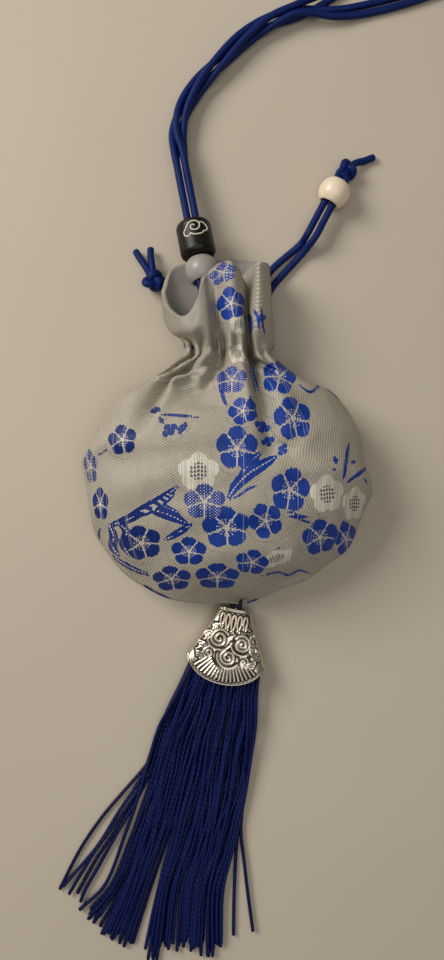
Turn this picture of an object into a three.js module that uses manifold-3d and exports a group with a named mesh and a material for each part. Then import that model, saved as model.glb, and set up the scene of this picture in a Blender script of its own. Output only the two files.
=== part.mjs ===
// Kinchaku drawstring pouch with sliding beads, two drawcords and a capped tassel.
// It lies on its back as on a table: +X to the right, +Y towards the mouth, +Z up.
// Millimetres.

import * as THREE from 'three';
import { ParametricGeometry } from 'three/addons/geometries/ParametricGeometry.js';
import { mergeVertices } from 'three/addons/utils/BufferGeometryUtils.js';
import Module from 'manifold-3d';

const wasm = await Module();
wasm.setup();

// Cloth bag: overall sizes.
const bodyWidth = 77.2;
const bodyLength = 68.4;
const bodyWidestAt = 34.4;
const bodyFrontRise = 18;
const backFlatDepth = 10;
const bottomEdgeHeight = 4.6;
const bottomY = 4.2;
const bodyCentreX = 3.8;
const bottomCentreX = 7.2;
const clothThickness = 1.2;
const seamGap = 0.3;

// Gathered casing that holds the cords, and the frill above it.
const casingWidth = 23.2;
const casingThickness = 15;
const casingLength = 5.2;
const casingCentreX = 4.9;
const frillLength = 19.6;
const mouthWidth = 30;
const mouthFrontRise = 9.3;
const mouthBackDepth = 6.3;
const mouthCentreX = 1.3;

// Cords and clearances.
const cordDiameter = 2;
const strandGap = 0.34;
const cordClearance = 0.3;
const casingSkin = 0.7;
const knotDiameter = 5.8;
const fineStep = 2.8;
const coarseStep = 6.5;

// Beads.
const roundBeadDiameter = 9.2;
const barrelDiameter = 9.7;
const barrelLength = 11.6;
const barrelCornerRadius = 1.6;
const barrelTravel = 12;
const pullBeadDiameter = 8.8;
const pullBeadTravel = 8;
const beadGap = 0.3;
const beadAboveCloth = 1;

// Tassel.
const tasselTilt = -11;
const tasselSwing = 18;
const tasselLoopDiameter = 1.4;
const tasselLoopKnot = 3.4;
const capTopDrop = 2.2;
const capTopWidth = 9;
const capBottomWidth = 22.4;
const capTopThickness = 5.8;
const capBottomThickness = 7.4;
const capSideLength = 16.4;
const capBottomBulge = 4.6;
const capWall = 0.8;
const capCentreHeight = 4;
const skeinLength = 99;
const skeinHeadDrop = 4.6;
const skeinEndWidth = 41;
const skeinEndThickness = 2.4;
const skeinFloorGap = 0.2;
const bindingThickness = 0.6;
const bindingLength = 3.2;
const bindingDrop = 2;

// Places worked out from the sizes above.
const seamHeight = backFlatDepth;
const casingStartY = bottomY + bodyLength;
const casingY = casingStartY + casingLength / 2;
const casingEndY = casingStartY + casingLength;
const cordRadius = cordDiameter / 2;
const cordSpacing = cordDiameter + strandGap;
const channelRadius = cordRadius + cordClearance;
const channelHalfWidth = casingWidth / 2 - casingSkin - channelRadius;
const channelHalfHeight = casingThickness / 2 - casingSkin - channelRadius;
const casingWall = 2 * casingSkin + 2 * channelRadius;
const fourCordBore = Math.SQRT2 * cordSpacing / 2 + cordRadius + cordClearance;
const twoCordBore = cordSpacing / 2 + cordRadius + cordClearance;

// Places in plan that the hand-set points of the cords are measured from.
const mouth = new THREE.Vector2(mouthCentreX, casingEndY + frillLength);
const leftSlit = new THREE.Vector2(casingCentreX - casingWidth / 2, casingY);
const rightSlit = new THREE.Vector2(casingCentreX + casingWidth / 2, casingY);

// Points given from a place in plan, with their height above the table.
function pointsFrom(place, points) {
  return points.map(([x, y, z]) => new THREE.Vector3(place.x + x, place.y + y, z));
}

// Line on which the round bead and the barrel bead slide, and the one of the pull bead.
const beadHeight = seamHeight - mouthBackDepth + clothThickness + beadAboveCloth + roundBeadDiameter / 2;
const [beadLineStart] = pointsFrom(mouth, [[-3.9, -1.7, beadHeight]]);
const beadLine = new THREE.Vector3(-0.1866, 0.9679, -0.17).normalize();
const [pullLineStart] = pointsFrom(mouth, [[33, 21.6, pullBeadDiameter / 2 + 0.1]]);
const pullLine = new THREE.Vector3(0.47, 0.8827, 0).normalize();
const up = new THREE.Vector3(0, 0, 1);

// Helpers for solids.
function solidFrom(geometry) {
  const bare = geometry.index ? geometry.toNonIndexed() : geometry.clone();
  bare.deleteAttribute('normal');
  bare.deleteAttribute('uv');
  const merged = mergeVertices(bare, 1e-4);
  const index = merged.index.array;
  const place = merged.attributes.position;
  const corners = [new THREE.Vector3(), new THREE.Vector3(), new THREE.Vector3()];
  const kept = [];
  let volume = 0;
  for (let i = 0; i < index.length; i += 3) {
    const [a, b, c] = [index[i], index[i + 1], index[i + 2]];
    if (a === b || b === c || c === a) continue;
    kept.push([a, b, c]);
    corners.forEach((corner, k) => corner.fromBufferAttribute(place, [a, b, c][k]));
    volume += corners[0].dot(corners[1].cross(corners[2]));
  }
  const turned = volume < 0 ? kept.map(([a, b, c]) => [a, c, b]) : kept;
  return new wasm.Manifold(new wasm.Mesh({
    numProp: 3,
    vertProperties: new Float32Array(place.array),
    triVerts: new Uint32Array(turned.flat()),
  }));
}

// Joins and cuts leave slivers and edges shorter than this, which are closed up.
const sliver = 0.02;

function withoutShortEdges(points, triangles) {
  const joined = points.map((point, i) => i);
  const root = (i) => (joined[i] === i ? i : root(joined[i]));
  triangles.forEach((corners) => corners.forEach((a, k) => {
    const b = corners[(k + 1) % 3];
    const [low, high] = [Math.min(root(a), root(b)), Math.max(root(a), root(b))];
    if (points[a].distanceTo(points[b]) < sliver) joined[high] = low;
  }));
  const kept = new Map();
  triangles.forEach((corners) => {
    const [a, b, c] = corners.map(root);
    if (a === b || b === c || c === a) return;
    const key = [a, b, c].sort((first, second) => first - second).join(' ');
    if (kept.has(key)) kept.delete(key);
    else kept.set(key, [a, b, c]);
  });
  return [...kept.values()];
}

function geometryFrom(solid) {
  const mesh = solid.simplify(sliver).getMesh();
  const points = [];
  for (let i = 0; i < mesh.numVert; i += 1) points.push(new THREE.Vector3(...mesh.position(i)));
  const triangles = [];
  for (let i = 0; i < mesh.numTri; i += 1) triangles.push([...mesh.verts(i)]);
  const geometry = new THREE.BufferGeometry();
  geometry.setFromPoints(points);
  geometry.setIndex(withoutShortEdges(points, triangles).flat());
  geometry.computeVertexNormals();
  return geometry;
}

function named(name, solid, look) {
  const mesh = new THREE.Mesh(geometryFrom(solid), new THREE.MeshStandardMaterial(look));
  mesh.name = name;
  return mesh;
}

function boxSolid(low, high) {
  const box = new THREE.BoxGeometry(high[0] - low[0], high[1] - low[1], high[2] - low[2]);
  box.translate((low[0] + high[0]) / 2, (low[1] + high[1]) / 2, (low[2] + high[2]) / 2);
  return solidFrom(box);
}

// A round tube of eight sides along points, with a step of about the given length.
function tubeSolid(points, radius, step) {
  const path = new THREE.CatmullRomCurve3(points);
  const sides = 8;
  const section = new THREE.Shape();
  for (let i = 0; i < sides; i += 1) {
    const angle = (2 * Math.PI * i) / sides;
    section[i === 0 ? 'moveTo' : 'lineTo'](radius * Math.cos(angle), radius * Math.sin(angle));
  }
  const steps = Math.max(1, Math.round(path.getLength() / step));
  return solidFrom(new THREE.ExtrudeGeometry(section, { steps, extrudePath: path, bevelEnabled: false }));
}

// A closed solid through oval rings. Each ring has a centre, a half width along X and a half
// thickness along Z, and the rings follow each other along Y.
function ovalLoft(rings, squareness, around) {
  const stations = [rings[0], ...rings, rings[rings.length - 1]];
  const closed = (u, v, target) => {
    const i = Math.round(v * (stations.length - 1));
    const size = i === 0 || i === stations.length - 1 ? 0 : 1;
    const ring = stations[i];
    const angle = 2 * Math.PI * (u === 1 ? 0 : u);
    const across = Math.cos(angle);
    const high = Math.sin(angle);
    const spread = (value) => Math.sign(value) * Math.abs(value) ** (2 / squareness);
    target.set(
      ring.x + size * ring.halfWidth * spread(across),
      ring.y,
      ring.z + size * ring.halfThickness * spread(high),
    );
  };
  return solidFrom(new ParametricGeometry(closed, around, stations.length - 1));
}

// The bag's section at a distance from its bottom edge: half width, rise in front of the
// side seam, depth behind it, centre and height of the seam.
const shoulder = new THREE.SplineCurve([
  new THREE.Vector2(0, 1),
  new THREE.Vector2(0.28, 0.925),
  new THREE.Vector2(0.52, 0.76),
  new THREE.Vector2(0.74, 0.42),
  new THREE.Vector2(0.9, 0.13),
  new THREE.Vector2(1, 0),
]);

function ease(value) {
  return THREE.MathUtils.smoothstep(value, 0, 1);
}

function mix(from, to, share) {
  return THREE.MathUtils.lerp(from, to, share);
}

function bagSection(distance) {
  if (distance <= bodyWidestAt) {
    const fullness = 1 - (1 - distance / bodyWidestAt) ** 2;
    const nearBottom = ease(distance / (bodyWidestAt / 3));
    return {
      halfWidth: (bodyWidth / 2) * Math.sqrt(fullness),
      rise: bodyFrontRise * fullness ** 0.7,
      depth: mix(bottomEdgeHeight, backFlatDepth, nearBottom) * Math.min(1, 2.2 * fullness ** 0.6),
      centreX: mix(bottomCentreX, bodyCentreX, nearBottom),
      seam: mix(bottomEdgeHeight, seamHeight, nearBottom),
    };
  }
  if (distance <= bodyLength) {
    const share = (distance - bodyWidestAt) / (bodyLength - bodyWidestAt);
    const width = shoulder.getPoint(share).y;
    return {
      halfWidth: mix(casingWidth, bodyWidth, width) / 2,
      rise: mix(casingThickness / 2, bodyFrontRise, Math.min(1, width * 1.15)),
      depth: mix(casingThickness / 2, backFlatDepth, Math.min(1, width * 1.6)),
      centreX: mix(bodyCentreX, casingCentreX, ease(share)),
      seam: seamHeight,
    };
  }
  const share = THREE.MathUtils.clamp((distance - bodyLength - casingLength) / frillLength, 0, 1);
  return {
    halfWidth: mix(casingWidth, mouthWidth, share) / 2,
    rise: mix(casingThickness / 2, mouthFrontRise, share),
    depth: mix(casingThickness / 2, mouthBackDepth, share),
    centreX: mix(casingCentreX, mouthCentreX, share),
    seam: seamHeight,
  };
}

// Wall of the bag at a distance from its bottom edge: thin cloth, and thicker at the casing.
function bagWall(distance) {
  const fromCasing = Math.max(bodyLength - distance, distance - bodyLength - casingLength, 0);
  return mix(casingWall, clothThickness, ease(fromCasing / casingLength));
}

// One half of the bag as a filled solid, in front of the side seam or behind it.
function bagHalf(side, hollow) {
  const frontPart = 0.8;
  const around = 25;
  const bodySteps = 15;
  const shoulderSteps = 11;
  const frillSteps = 5;
  const distances = [];
  for (let i = 1; i <= bodySteps; i += 1) {
    distances.push(bodyWidestAt * (1 - Math.cos((Math.PI / 2) * (i / bodySteps))));
  }
  for (let i = 1; i <= shoulderSteps; i += 1) {
    distances.push(mix(bodyWidestAt, bodyLength, i / shoulderSteps));
  }
  for (let i = 0; i <= frillSteps; i += 1) {
    distances.push(bodyLength + casingLength + (frillLength * i) / frillSteps);
  }
  const overrun = 1;
  const stations = hollow
    ? [distances[2], ...distances.slice(2), distances[distances.length - 1], distances[distances.length - 1]]
    : [0, ...distances, distances[distances.length - 1]];
  const last = stations.length - 1;
  const surface = (u, v, target) => {
    const i = Math.round(v * last);
    const distance = stations[i];
    const section = bagSection(distance);
    const wall = hollow ? bagWall(distance) : 0;
    const size = i === 0 || i === last ? 0 : 1;
    const halfWidth = size * Math.max(section.halfWidth - wall, 0);
    const height = size * Math.max((side > 0 ? section.rise : section.depth) - wall, 0);
    const past = hollow && i >= last - 1 ? overrun : 0;
    const start = hollow ? -overrun : seamGap / 2;
    const around01 = u === 1 ? 0 : u;
    let x = section.centreX + halfWidth;
    let z = start;
    if (around01 <= frontPart) {
      const angle = (Math.PI * around01) / frontPart;
      const roundness = side > 0 ? 0.9 : 0.5;
      x = section.centreX + halfWidth * Math.cos(angle);
      z = Math.max(start, height * Math.abs(Math.sin(angle)) ** roundness);
    } else {
      x = section.centreX - halfWidth + (2 * halfWidth * (around01 - frontPart)) / (1 - frontPart);
    }
    if (around01 === 0 || around01 === frontPart) z = start;
    if (size === 0) z = (start + Math.max(height, start)) / 2;
    target.set(x, bottomY + distance + past, section.seam + side * z);
  };
  return solidFrom(new ParametricGeometry(surface, around, last));
}

// Routes of the cords in the casing. Each cord runs in its own half of the casing, leaves it
// through the slit in the side seam, and comes up in the mouth through slits in the inner skin.
function casingPoint(angle, handed) {
  const turn = THREE.MathUtils.degToRad(angle);
  return new THREE.Vector3(
    casingCentreX - handed * channelHalfWidth * Math.cos(turn),
    casingY,
    seamHeight + channelHalfHeight * Math.sin(turn),
  );
}

function lineFrame(direction) {
  const across = new THREE.Vector3().crossVectors(direction, up).normalize();
  const above = new THREE.Vector3().crossVectors(across, direction).normalize();
  return { across, above };
}

const beadFrame = lineFrame(beadLine);
const pullFrame = lineFrame(pullLine);

function besideLine(start, direction, frame, along, across, above) {
  return start.clone()
    .addScaledVector(direction, along)
    .addScaledVector(frame.across, across)
    .addScaledVector(frame.above, above);
}

function onBeadLine(along, across, above) {
  return besideLine(beadLineStart, beadLine, beadFrame, along, across, above);
}

function onPullLine(along, across) {
  return besideLine(pullLineStart, pullLine, pullFrame, along, across, 0);
}

// From the slit in the side seam round to the middle of the casing and up to the beads.
// handed is 1 for the left cord and -1 for the right one, face is 1 in front and -1 behind.
function casingRoute(handed, face) {
  const middle = casingCentreX;
  const inMouth = (x, y, z) => new THREE.Vector3(middle - handed * x, casingY + y, seamHeight + face * z);
  return [
    inMouth(casingWidth / 2 + 1.2, 0.1, cordSpacing / 2 + 0.1),
    inMouth(casingWidth / 2 - 0.6, 0, cordSpacing / 2 + 0.5),
    casingPoint(face * 28, handed),
    casingPoint(face * 46, handed),
    casingPoint(face * 62, handed),
    inMouth(2.6, 0.5, channelHalfHeight - 0.3),
    inMouth(1.5, 2.6, channelHalfHeight - 1.4),
    inMouth(1.6, 6.4, 2.6),
    onBeadLine(-8, -handed * cordSpacing / 2, face * cordSpacing / 2).lerp(inMouth(1.6, 11, 2), 0.25),
    onBeadLine(-4, -handed * cordSpacing / 2, face * cordSpacing / 2),
  ];
}

// Middle of the bundle of four strands above the beads, as it lies on the table.
const bundleStraight = barrelTravel + barrelLength + 7;
const bundleRest = Math.SQRT2 * cordSpacing / 2 + cordRadius + 0.05;
const bundleRoute = pointsFrom(mouth, [
  [-10.4, 32.8, 4.6],
  [-10.8, 39.1, 3.5],
  [-9.2, 45.9, 2.85],
  [-5.1, 52.5, bundleRest],
  [0.3, 58.5, bundleRest],
  [7.4, 65.4, bundleRest],
  [15.1, 70.6, bundleRest],
  [22.9, 73.6, bundleRest],
]);

// The two strands of a cord part past the bundle's end and meet in a wide loop on the table.
const loopHeight = cordRadius + 0.1;
const loopRoutes = {
  outer: pointsFrom(mouth, [
    [30.9, 79.2, 2.2],
    [39.2, 85.2, loopHeight],
    [48.7, 92.2, loopHeight],
    [58.7, 98.8, loopHeight],
    [69.7, 104.2, loopHeight],
    [80.7, 106.8, loopHeight],
    [88.9, 104.2, loopHeight],
    [91.1, 96.6, loopHeight],
    [86.3, 89.2, loopHeight],
    [76.7, 84.6, loopHeight],
    [65.7, 80.6, loopHeight],
    [54.7, 76.8, loopHeight],
    [43.7, 74, loopHeight],
    [34.1, 72.3, 2.2],
  ]),
  inner: pointsFrom(mouth, [
    [31.1, 76.8, 1.3],
    [40.5, 83.1, loopHeight],
    [50.1, 90.1, loopHeight],
    [60, 96.6, loopHeight],
    [70.7, 101.8, loopHeight],
    [80.3, 104.1, loopHeight],
    [86.5, 102.4, loopHeight],
    [88.1, 97, loopHeight],
    [84.5, 91.2, loopHeight],
    [75.7, 87, loopHeight],
    [64.7, 83, loopHeight],
    [53.9, 79.2, loopHeight],
    [43.3, 76.5, loopHeight],
    [33.5, 74.7, 1.3],
  ]),
};

// Each strand keeps its place round the bundle's middle, and the bundle turns as it goes.
function bundleStrand(startAngle) {
  const turnAt = [0, 12, 60, 95, 130, 165, 200, 240, 270];
  const middles = [onBeadLine(bundleStraight, 0, 0), ...bundleRoute];
  const curve = new THREE.CatmullRomCurve3(middles);
  const radius = Math.SQRT2 * cordSpacing / 2;
  return middles.map((middle, i) => {
    const tangent = curve.getTangent(i / (middles.length - 1));
    const frame = lineFrame(tangent);
    const angle = THREE.MathUtils.degToRad(startAngle + turnAt[i]);
    return besideLine(middle, tangent, frame, 0, radius * Math.cos(angle), radius * Math.sin(angle));
  });
}

function looseStrand(handed, face) {
  const across = -handed * cordSpacing / 2;
  const above = face * cordSpacing / 2;
  const angle = THREE.MathUtils.radToDeg(Math.atan2(above, across));
  return [
    onBeadLine(-4, across, above),
    onBeadLine(6, across, above),
    onBeadLine(bundleStraight - 8, across, above),
    ...bundleStrand(angle),
  ];
}

function hangingLoop(handed, loop) {
  const front = looseStrand(handed, 1);
  const back = looseStrand(handed, -1);
  const between = handed > 0 ? loopRoutes[loop].toReversed() : loopRoutes[loop];
  return [...front, ...between, ...back.reverse()];
}

// Ends of the left cord: both strands run to one knot beside the frill, with two cut tails.
const [leftKnot] = pointsFrom(leftSlit, [[-9.7, 19.4, 3.3]]);
const leftEndRoutes = [
  [[-2.5, 1.1, 10.2], [-3, 4, 6.5], [-3, 8, 3.2], [-3.8, 12.5, 1.6], [-5.8, 16.5, 1.7], [-8.7, 19, 2.9]],
  [[-1.8, 1.5, 7.2], [-1.2, 5, 4], [-0.6, 9, 1.7], [-1.2, 14, 1.3], [-4.2, 18.4, 1.3], [-8.3, 20.2, 2.4]],
];
const leftTails = [
  [[-0.2, 0.4, 3.4], [-2.2, 4, 3.2], [-4, 6.8, 2.3], [-5.1, 8.7, 1.4]],
  [[0.2, 0.4, 3.6], [-0.3, 3.8, 3.8], [-0.8, 7, 2.9], [-0.9, 9.2, 2]],
];

// Ends of the right cord: both strands run through the pull bead to one knot with one tail.
const rightKnotAlong = pullBeadDiameter / 2 + beadGap + knotDiameter / 2;
const rightKnot = onPullLine(rightKnotAlong, 0).setZ(knotDiameter / 2 + 0.3);
const rightEndRoutes = [
  [[1.8, 1.6, 10.2], [1.2, 4.4, 6.4], [-2, 9.5, 2.8], [-3.2, 15.5, 1.5], [-0.4, 21.9, 1.4], [8.7, 30.2, 1.7]],
  [[1.6, 2.2, 7.2], [1.8, 5.4, 4], [0.7, 9.5, 1.9], [-0.4, 13, 1.6], [0.2, 17.1, 1.4], [8.7, 27.1, 1.4]],
];
const rightTail = [[0.3, 0.7, 3], [2.9, 2.5, 2.2], [5.5, 3.5, 1.3], [8, 4.5, 1.1]];

function vectors(points) {
  return points.map((point) => new THREE.Vector3(...point));
}

function knotSolid(centre) {
  const ball = new THREE.SphereGeometry(knotDiameter / 2, 12, 8);
  ball.translate(centre.x, centre.y, centre.z);
  return solidFrom(ball);
}

function leftDrawcord() {
  let cord = tubeSolid(hangingLoop(1, 'outer'), cordRadius, coarseStep);
  [1, -1].forEach((face, i) => {
    const end = pointsFrom(leftSlit, leftEndRoutes[i]).reverse();
    cord = cord.add(tubeSolid([...end, ...casingRoute(1, face)], cordRadius, fineStep));
    cord = cord.add(tubeSolid(pointsFrom(leftKnot, leftTails[i]), cordRadius, fineStep));
  });
  return cord.add(knotSolid(leftKnot));
}

function rightDrawcord() {
  let cord = tubeSolid(hangingLoop(-1, 'inner'), cordRadius, coarseStep);
  [1, -1].forEach((face, i) => {
    const across = -face * cordSpacing / 2;
    const pulled = [
      onPullLine(pullBeadDiameter / 2 + beadGap, across),
      onPullLine(0, across),
      onPullLine(-pullBeadDiameter, across),
      onPullLine(-pullBeadDiameter / 2 - pullBeadTravel - 1, across),
    ];
    const end = [rightKnot.clone(), ...pulled, ...pointsFrom(rightSlit, rightEndRoutes[i]).reverse()];
    cord = cord.add(tubeSolid([...end, ...casingRoute(-1, face)], cordRadius, fineStep));
  });
  cord = cord.add(tubeSolid(pointsFrom(rightKnot, rightTail), cordRadius, fineStep));
  return cord.add(knotSolid(rightKnot));
}

// The channel that the cords run in, with the slits through the skins of the casing.
function casingChannel() {
  const roomy = channelRadius / Math.cos(Math.PI / 8);
  const halfRing = (from) => {
    const points = [];
    const steps = 16;
    for (let i = 0; i <= steps; i += 1) points.push(casingPoint(from + (190 * i) / steps, 1));
    return tubeSolid(points, roomy, fineStep);
  };
  let channel = halfRing(-5).add(halfRing(175));
  const slitHalf = channelRadius + 0.2;
  const slitTop = cordSpacing / 2 + channelRadius + 0.9;
  [-1, 1].forEach((side) => {
    const outer = casingCentreX + side * (casingWidth / 2 + 2);
    const inner = casingCentreX + side * (channelHalfWidth - 1.6);
    channel = channel.add(boxSolid(
      [Math.min(outer, inner), casingY - slitHalf, seamHeight - slitTop],
      [Math.max(outer, inner), casingY + slitHalf, seamHeight + slitTop],
    ));
    const skinTop = channelHalfHeight + channelRadius;
    const throat = casingThickness / 2 - casingWall - 0.5;
    channel = channel.add(boxSolid(
      [casingCentreX - 5.2, casingY - slitHalf, seamHeight + (side > 0 ? throat : -skinTop)],
      [casingCentreX + 5.2, casingEndY + casingLength, seamHeight + (side > 0 ? skinTop : -throat)],
    ));
  });
  return channel;
}

// Slot in the bottom seam for the tassel's loop, wide enough for its swing.
const tasselPivot = new THREE.Vector3(bottomCentreX, bottomY + 0.6, bottomEdgeHeight);

function tasselSlot() {
  const swingRoom = 2.2 * clothThickness * Math.tan(THREE.MathUtils.degToRad(tasselSwing));
  const halfWidth = 1.5 * tasselLoopDiameter + cordClearance + swingRoom;
  const halfHeight = tasselLoopDiameter / 2 + cordClearance + 0.1;
  return boxSolid(
    [tasselPivot.x - halfWidth, bottomY - 1, tasselPivot.z - halfHeight],
    [tasselPivot.x + halfWidth, bottomY + 6, tasselPivot.z + halfHeight],
  );
}

function bagPanel(side) {
  return bagHalf(side, false)
    .subtract(bagHalf(side, true))
    .subtract(casingChannel())
    .subtract(tasselSlot());
}

// Beads: solids of revolution whose profile closes on itself, turned onto their line.
function turnedBead(profile, start, direction) {
  const lathe = new THREE.LatheGeometry([...profile, profile[0].clone()], 24);
  const turn = new THREE.Quaternion().setFromUnitVectors(new THREE.Vector3(0, 1, 0), direction);
  lathe.applyQuaternion(turn);
  lathe.translate(start.x, start.y, start.z);
  return solidFrom(lathe);
}

function roundProfile(diameter, bore) {
  const radius = diameter / 2;
  const open = Math.asin(bore / radius);
  const points = [];
  const steps = 10;
  for (let i = 0; i <= steps; i += 1) {
    const angle = mix(open, Math.PI - open, i / steps);
    points.push(new THREE.Vector2(radius * Math.sin(angle), -radius * Math.cos(angle)));
  }
  return points;
}

function barrelProfile() {
  const radius = barrelDiameter / 2;
  const corner = barrelCornerRadius;
  const points = [new THREE.Vector2(fourCordBore, 0)];
  const steps = 3;
  for (let i = 0; i <= steps; i += 1) {
    const angle = (Math.PI / 2) * (i / steps);
    const height = corner - corner * Math.cos(angle);
    points.push(new THREE.Vector2(radius - corner + corner * Math.sin(angle), height));
  }
  for (let i = steps; i >= 0; i -= 1) {
    const angle = (Math.PI / 2) * (i / steps);
    const height = barrelLength - corner + corner * Math.cos(angle);
    points.push(new THREE.Vector2(radius - corner + corner * Math.sin(angle), height));
  }
  points.push(new THREE.Vector2(fourCordBore, barrelLength));
  return points;
}

// The barrel's end rests on the round bead round the rim of its bore.
const barrelSeat = Math.sqrt((roundBeadDiameter / 2) ** 2 - fourCordBore ** 2) + beadGap;
const barrelStart = onBeadLine(barrelSeat, 0, 0);

// Tassel, in its own frame: the pivot at the origin, and the tassel hanging along -Y.
const capMiddle = capCentreHeight - tasselPivot.z;

function capSize(share, inset) {
  return {
    halfWidth: mix(capTopWidth, capBottomWidth, share ** 1.15) / 2 - inset,
    halfThickness: mix(capTopThickness, capBottomThickness, share) / 2 - inset,
  };
}

function capLoft(inset, from, to) {
  const rings = [];
  const steps = 6;
  for (let i = 0; i <= steps; i += 1) {
    const down = mix(from, to, i / steps);
    const size = capSize(Math.max(down, 0) / capSideLength, inset);
    rings.push({ x: 0, y: -capTopDrop - down, z: capMiddle, ...size });
  }
  return ovalLoft(rings, 3.2, 28);
}

function tasselCap() {
  const whole = capLoft(0, 0, capSideLength + capBottomBulge);
  const hollow = capLoft(capWall, capWall, capSideLength + capBottomBulge + 1);
  const halfBottom = capBottomWidth / 2;
  const arcRadius = (halfBottom ** 2 + capBottomBulge ** 2) / (2 * capBottomBulge);
  const arcCentre = -capTopDrop - capSideLength - capBottomBulge + arcRadius;
  const fan = new THREE.Shape();
  const openAngle = Math.asin(halfBottom / arcRadius) + 0.1;
  fan.moveTo(capBottomWidth, 0);
  fan.lineTo(-capBottomWidth, 0);
  fan.absarc(0, arcCentre, arcRadius, -Math.PI / 2 - openAngle, -Math.PI / 2 + openAngle, false);
  const through = { depth: 2 * capBottomThickness, bevelEnabled: false, curveSegments: 10 };
  const fanCut = new THREE.ExtrudeGeometry(fan, through);
  fanCut.translate(0, 0, capMiddle - capBottomThickness);
  const slotHalf = 1.5 * tasselLoopDiameter + cordClearance;
  const slotHigh = tasselLoopDiameter / 2 + cordClearance;
  const slot = boxSolid(
    [-slotHalf, -capTopDrop - 2 * capWall, -slotHigh],
    [slotHalf, -capTopDrop + 1, slotHigh],
  );
  return whole.intersect(solidFrom(fanCut)).subtract(hollow).subtract(slot);
}

// Skein of threads: folded over the loop in the cap, bound, then fanned out on the table.
function skeinRings() {
  const boundInset = capWall + cordClearance + bindingThickness + seamGap;
  const bound = capSize((skeinHeadDrop + bindingDrop) / capSideLength, boundInset);
  const atRim = capSize(1, capWall + 1.2);
  const rest = (halfThickness) => skeinFloorGap + halfThickness - tasselPivot.z;
  const shape = (y, x, width, thickness) => (
    { x, y, z: rest(thickness / 2), halfWidth: width / 2, halfThickness: thickness / 2 }
  );
  const inCap = (x, y, wide, thick) => ({
    x,
    y,
    z: capMiddle,
    halfWidth: atRim.halfWidth * wide,
    halfThickness: atRim.halfThickness * thick,
  });
  const headY = -capTopDrop - skeinHeadDrop;
  const endY = -skeinLength - capTopDrop;
  const rimY = -capTopDrop - capSideLength;
  return [
    { x: 0, y: headY - 0.6, z: capMiddle, halfWidth: bound.halfWidth * 0.75, halfThickness: 1 },
    { x: 0, y: headY - 1.4, z: capMiddle, ...bound },
    { x: 0, y: headY - bindingDrop - bindingLength - 0.4, z: capMiddle, ...bound },
    inCap(0.2, (headY + rimY) / 2 - 1.5, 0.86, 0.84),
    inCap(0.6, rimY - 1, 0.97, 0.86),
    shape(rimY - 9, 1.5, 20.4, 5.4),
    shape(mix(rimY, endY, 0.3), 1.4, 24.6, 4.8),
    shape(mix(rimY, endY, 0.5), -0.8, 29.6, 4),
    shape(mix(rimY, endY, 0.7), -3.4, 35.4, 3.2),
    shape(mix(rimY, endY, 0.88), -4.8, skeinEndWidth, skeinEndThickness),
    shape(mix(rimY, endY, 0.96), -5, skeinEndWidth * 0.9, skeinEndThickness),
    shape(endY, -5, skeinEndWidth * 0.62, skeinEndThickness),
  ];
}

function tasselSkein() {
  return ovalLoft(skeinRings(), 2.6, 24).subtract(loopSolid(tasselLoopDiameter / 2 + cordClearance));
}

function tasselBinding() {
  const rings = skeinRings();
  const head = rings[2];
  const from = -capTopDrop - skeinHeadDrop - bindingDrop;
  const band = (grow) => [from, from - bindingLength].map((y) => ({
    x: 0,
    y: y + (grow > bindingThickness / 2 ? 0 : Math.sign(y - from + bindingLength / 2)),
    z: capMiddle,
    halfWidth: head.halfWidth + grow,
    halfThickness: head.halfThickness + grow,
  }));
  return ovalLoft(band(bindingThickness), 2.6, 24).subtract(ovalLoft(band(seamGap / 2), 2.6, 24));
}

// Loop that carries the skein: both legs pass the cap's slot and end in a knot in the bag.
function loopSolid(radius) {
  const apart = 1.45 * tasselLoopDiameter / 2;
  const bottom = -capTopDrop - skeinHeadDrop - 0.6;
  const legs = [
    [-apart * 0.75, 2.4, 0],
    [-apart * 0.8, 0, 0],
    [-apart, -capTopDrop - capWall, 0],
    [-apart * 1.3, bottom + 2, capMiddle],
    [-apart * 0.8, bottom + 0.3, capMiddle],
    [apart * 0.8, bottom + 0.3, capMiddle],
    [apart * 1.3, bottom + 2, capMiddle],
    [apart, -capTopDrop - capWall, 0],
    [apart * 0.8, 0, 0],
    [apart * 0.75, 2.4, 0],
  ];
  return tubeSolid(vectors(legs), radius, 0.9);
}

function tasselLoop() {
  const knot = new THREE.SphereGeometry(tasselLoopKnot / 2, 10, 6);
  knot.scale(1, 1, 0.7);
  knot.translate(0, 3, 0);
  return loopSolid(tasselLoopDiameter / 2).add(solidFrom(knot));
}

// Finishes.
const brocade = { color: 0xb9b4ae, roughness: 0.55, metalness: 0 };
const cordBlue = { color: 0x12307f, roughness: 0.5, metalness: 0 };
const silver = { color: 0xd2cfc8, roughness: 0.3, metalness: 1 };
const threadBlue = { color: 0x0d1f66, roughness: 0.55, metalness: 0 };

const pouch = new THREE.Group();
pouch.add(named('front_panel', bagPanel(1), brocade));
pouch.add(named('back_panel', bagPanel(-1), brocade));

const cords = [
  named('drawcord_left', leftDrawcord(), cordBlue),
  named('drawcord_right', rightDrawcord(), cordBlue),
];

const roundBead = turnedBead(roundProfile(roundBeadDiameter, fourCordBore), beadLineStart, beadLine);
const barrelBead = turnedBead(barrelProfile(), barrelStart, beadLine);
const pullBead = turnedBead(roundProfile(pullBeadDiameter, twoCordBore), pullLineStart, pullLine);
pouch.add(named('round_bead', roundBead, { color: 0xa9a49c, roughness: 0.4, metalness: 0 }));
pouch.add(named('barrel_bead', barrelBead, { color: 0x17161a, roughness: 0.3, metalness: 0 }));
pouch.add(named('pull_bead', pullBead, { color: 0xe9e4d8, roughness: 0.45, metalness: 0 }));

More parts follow.
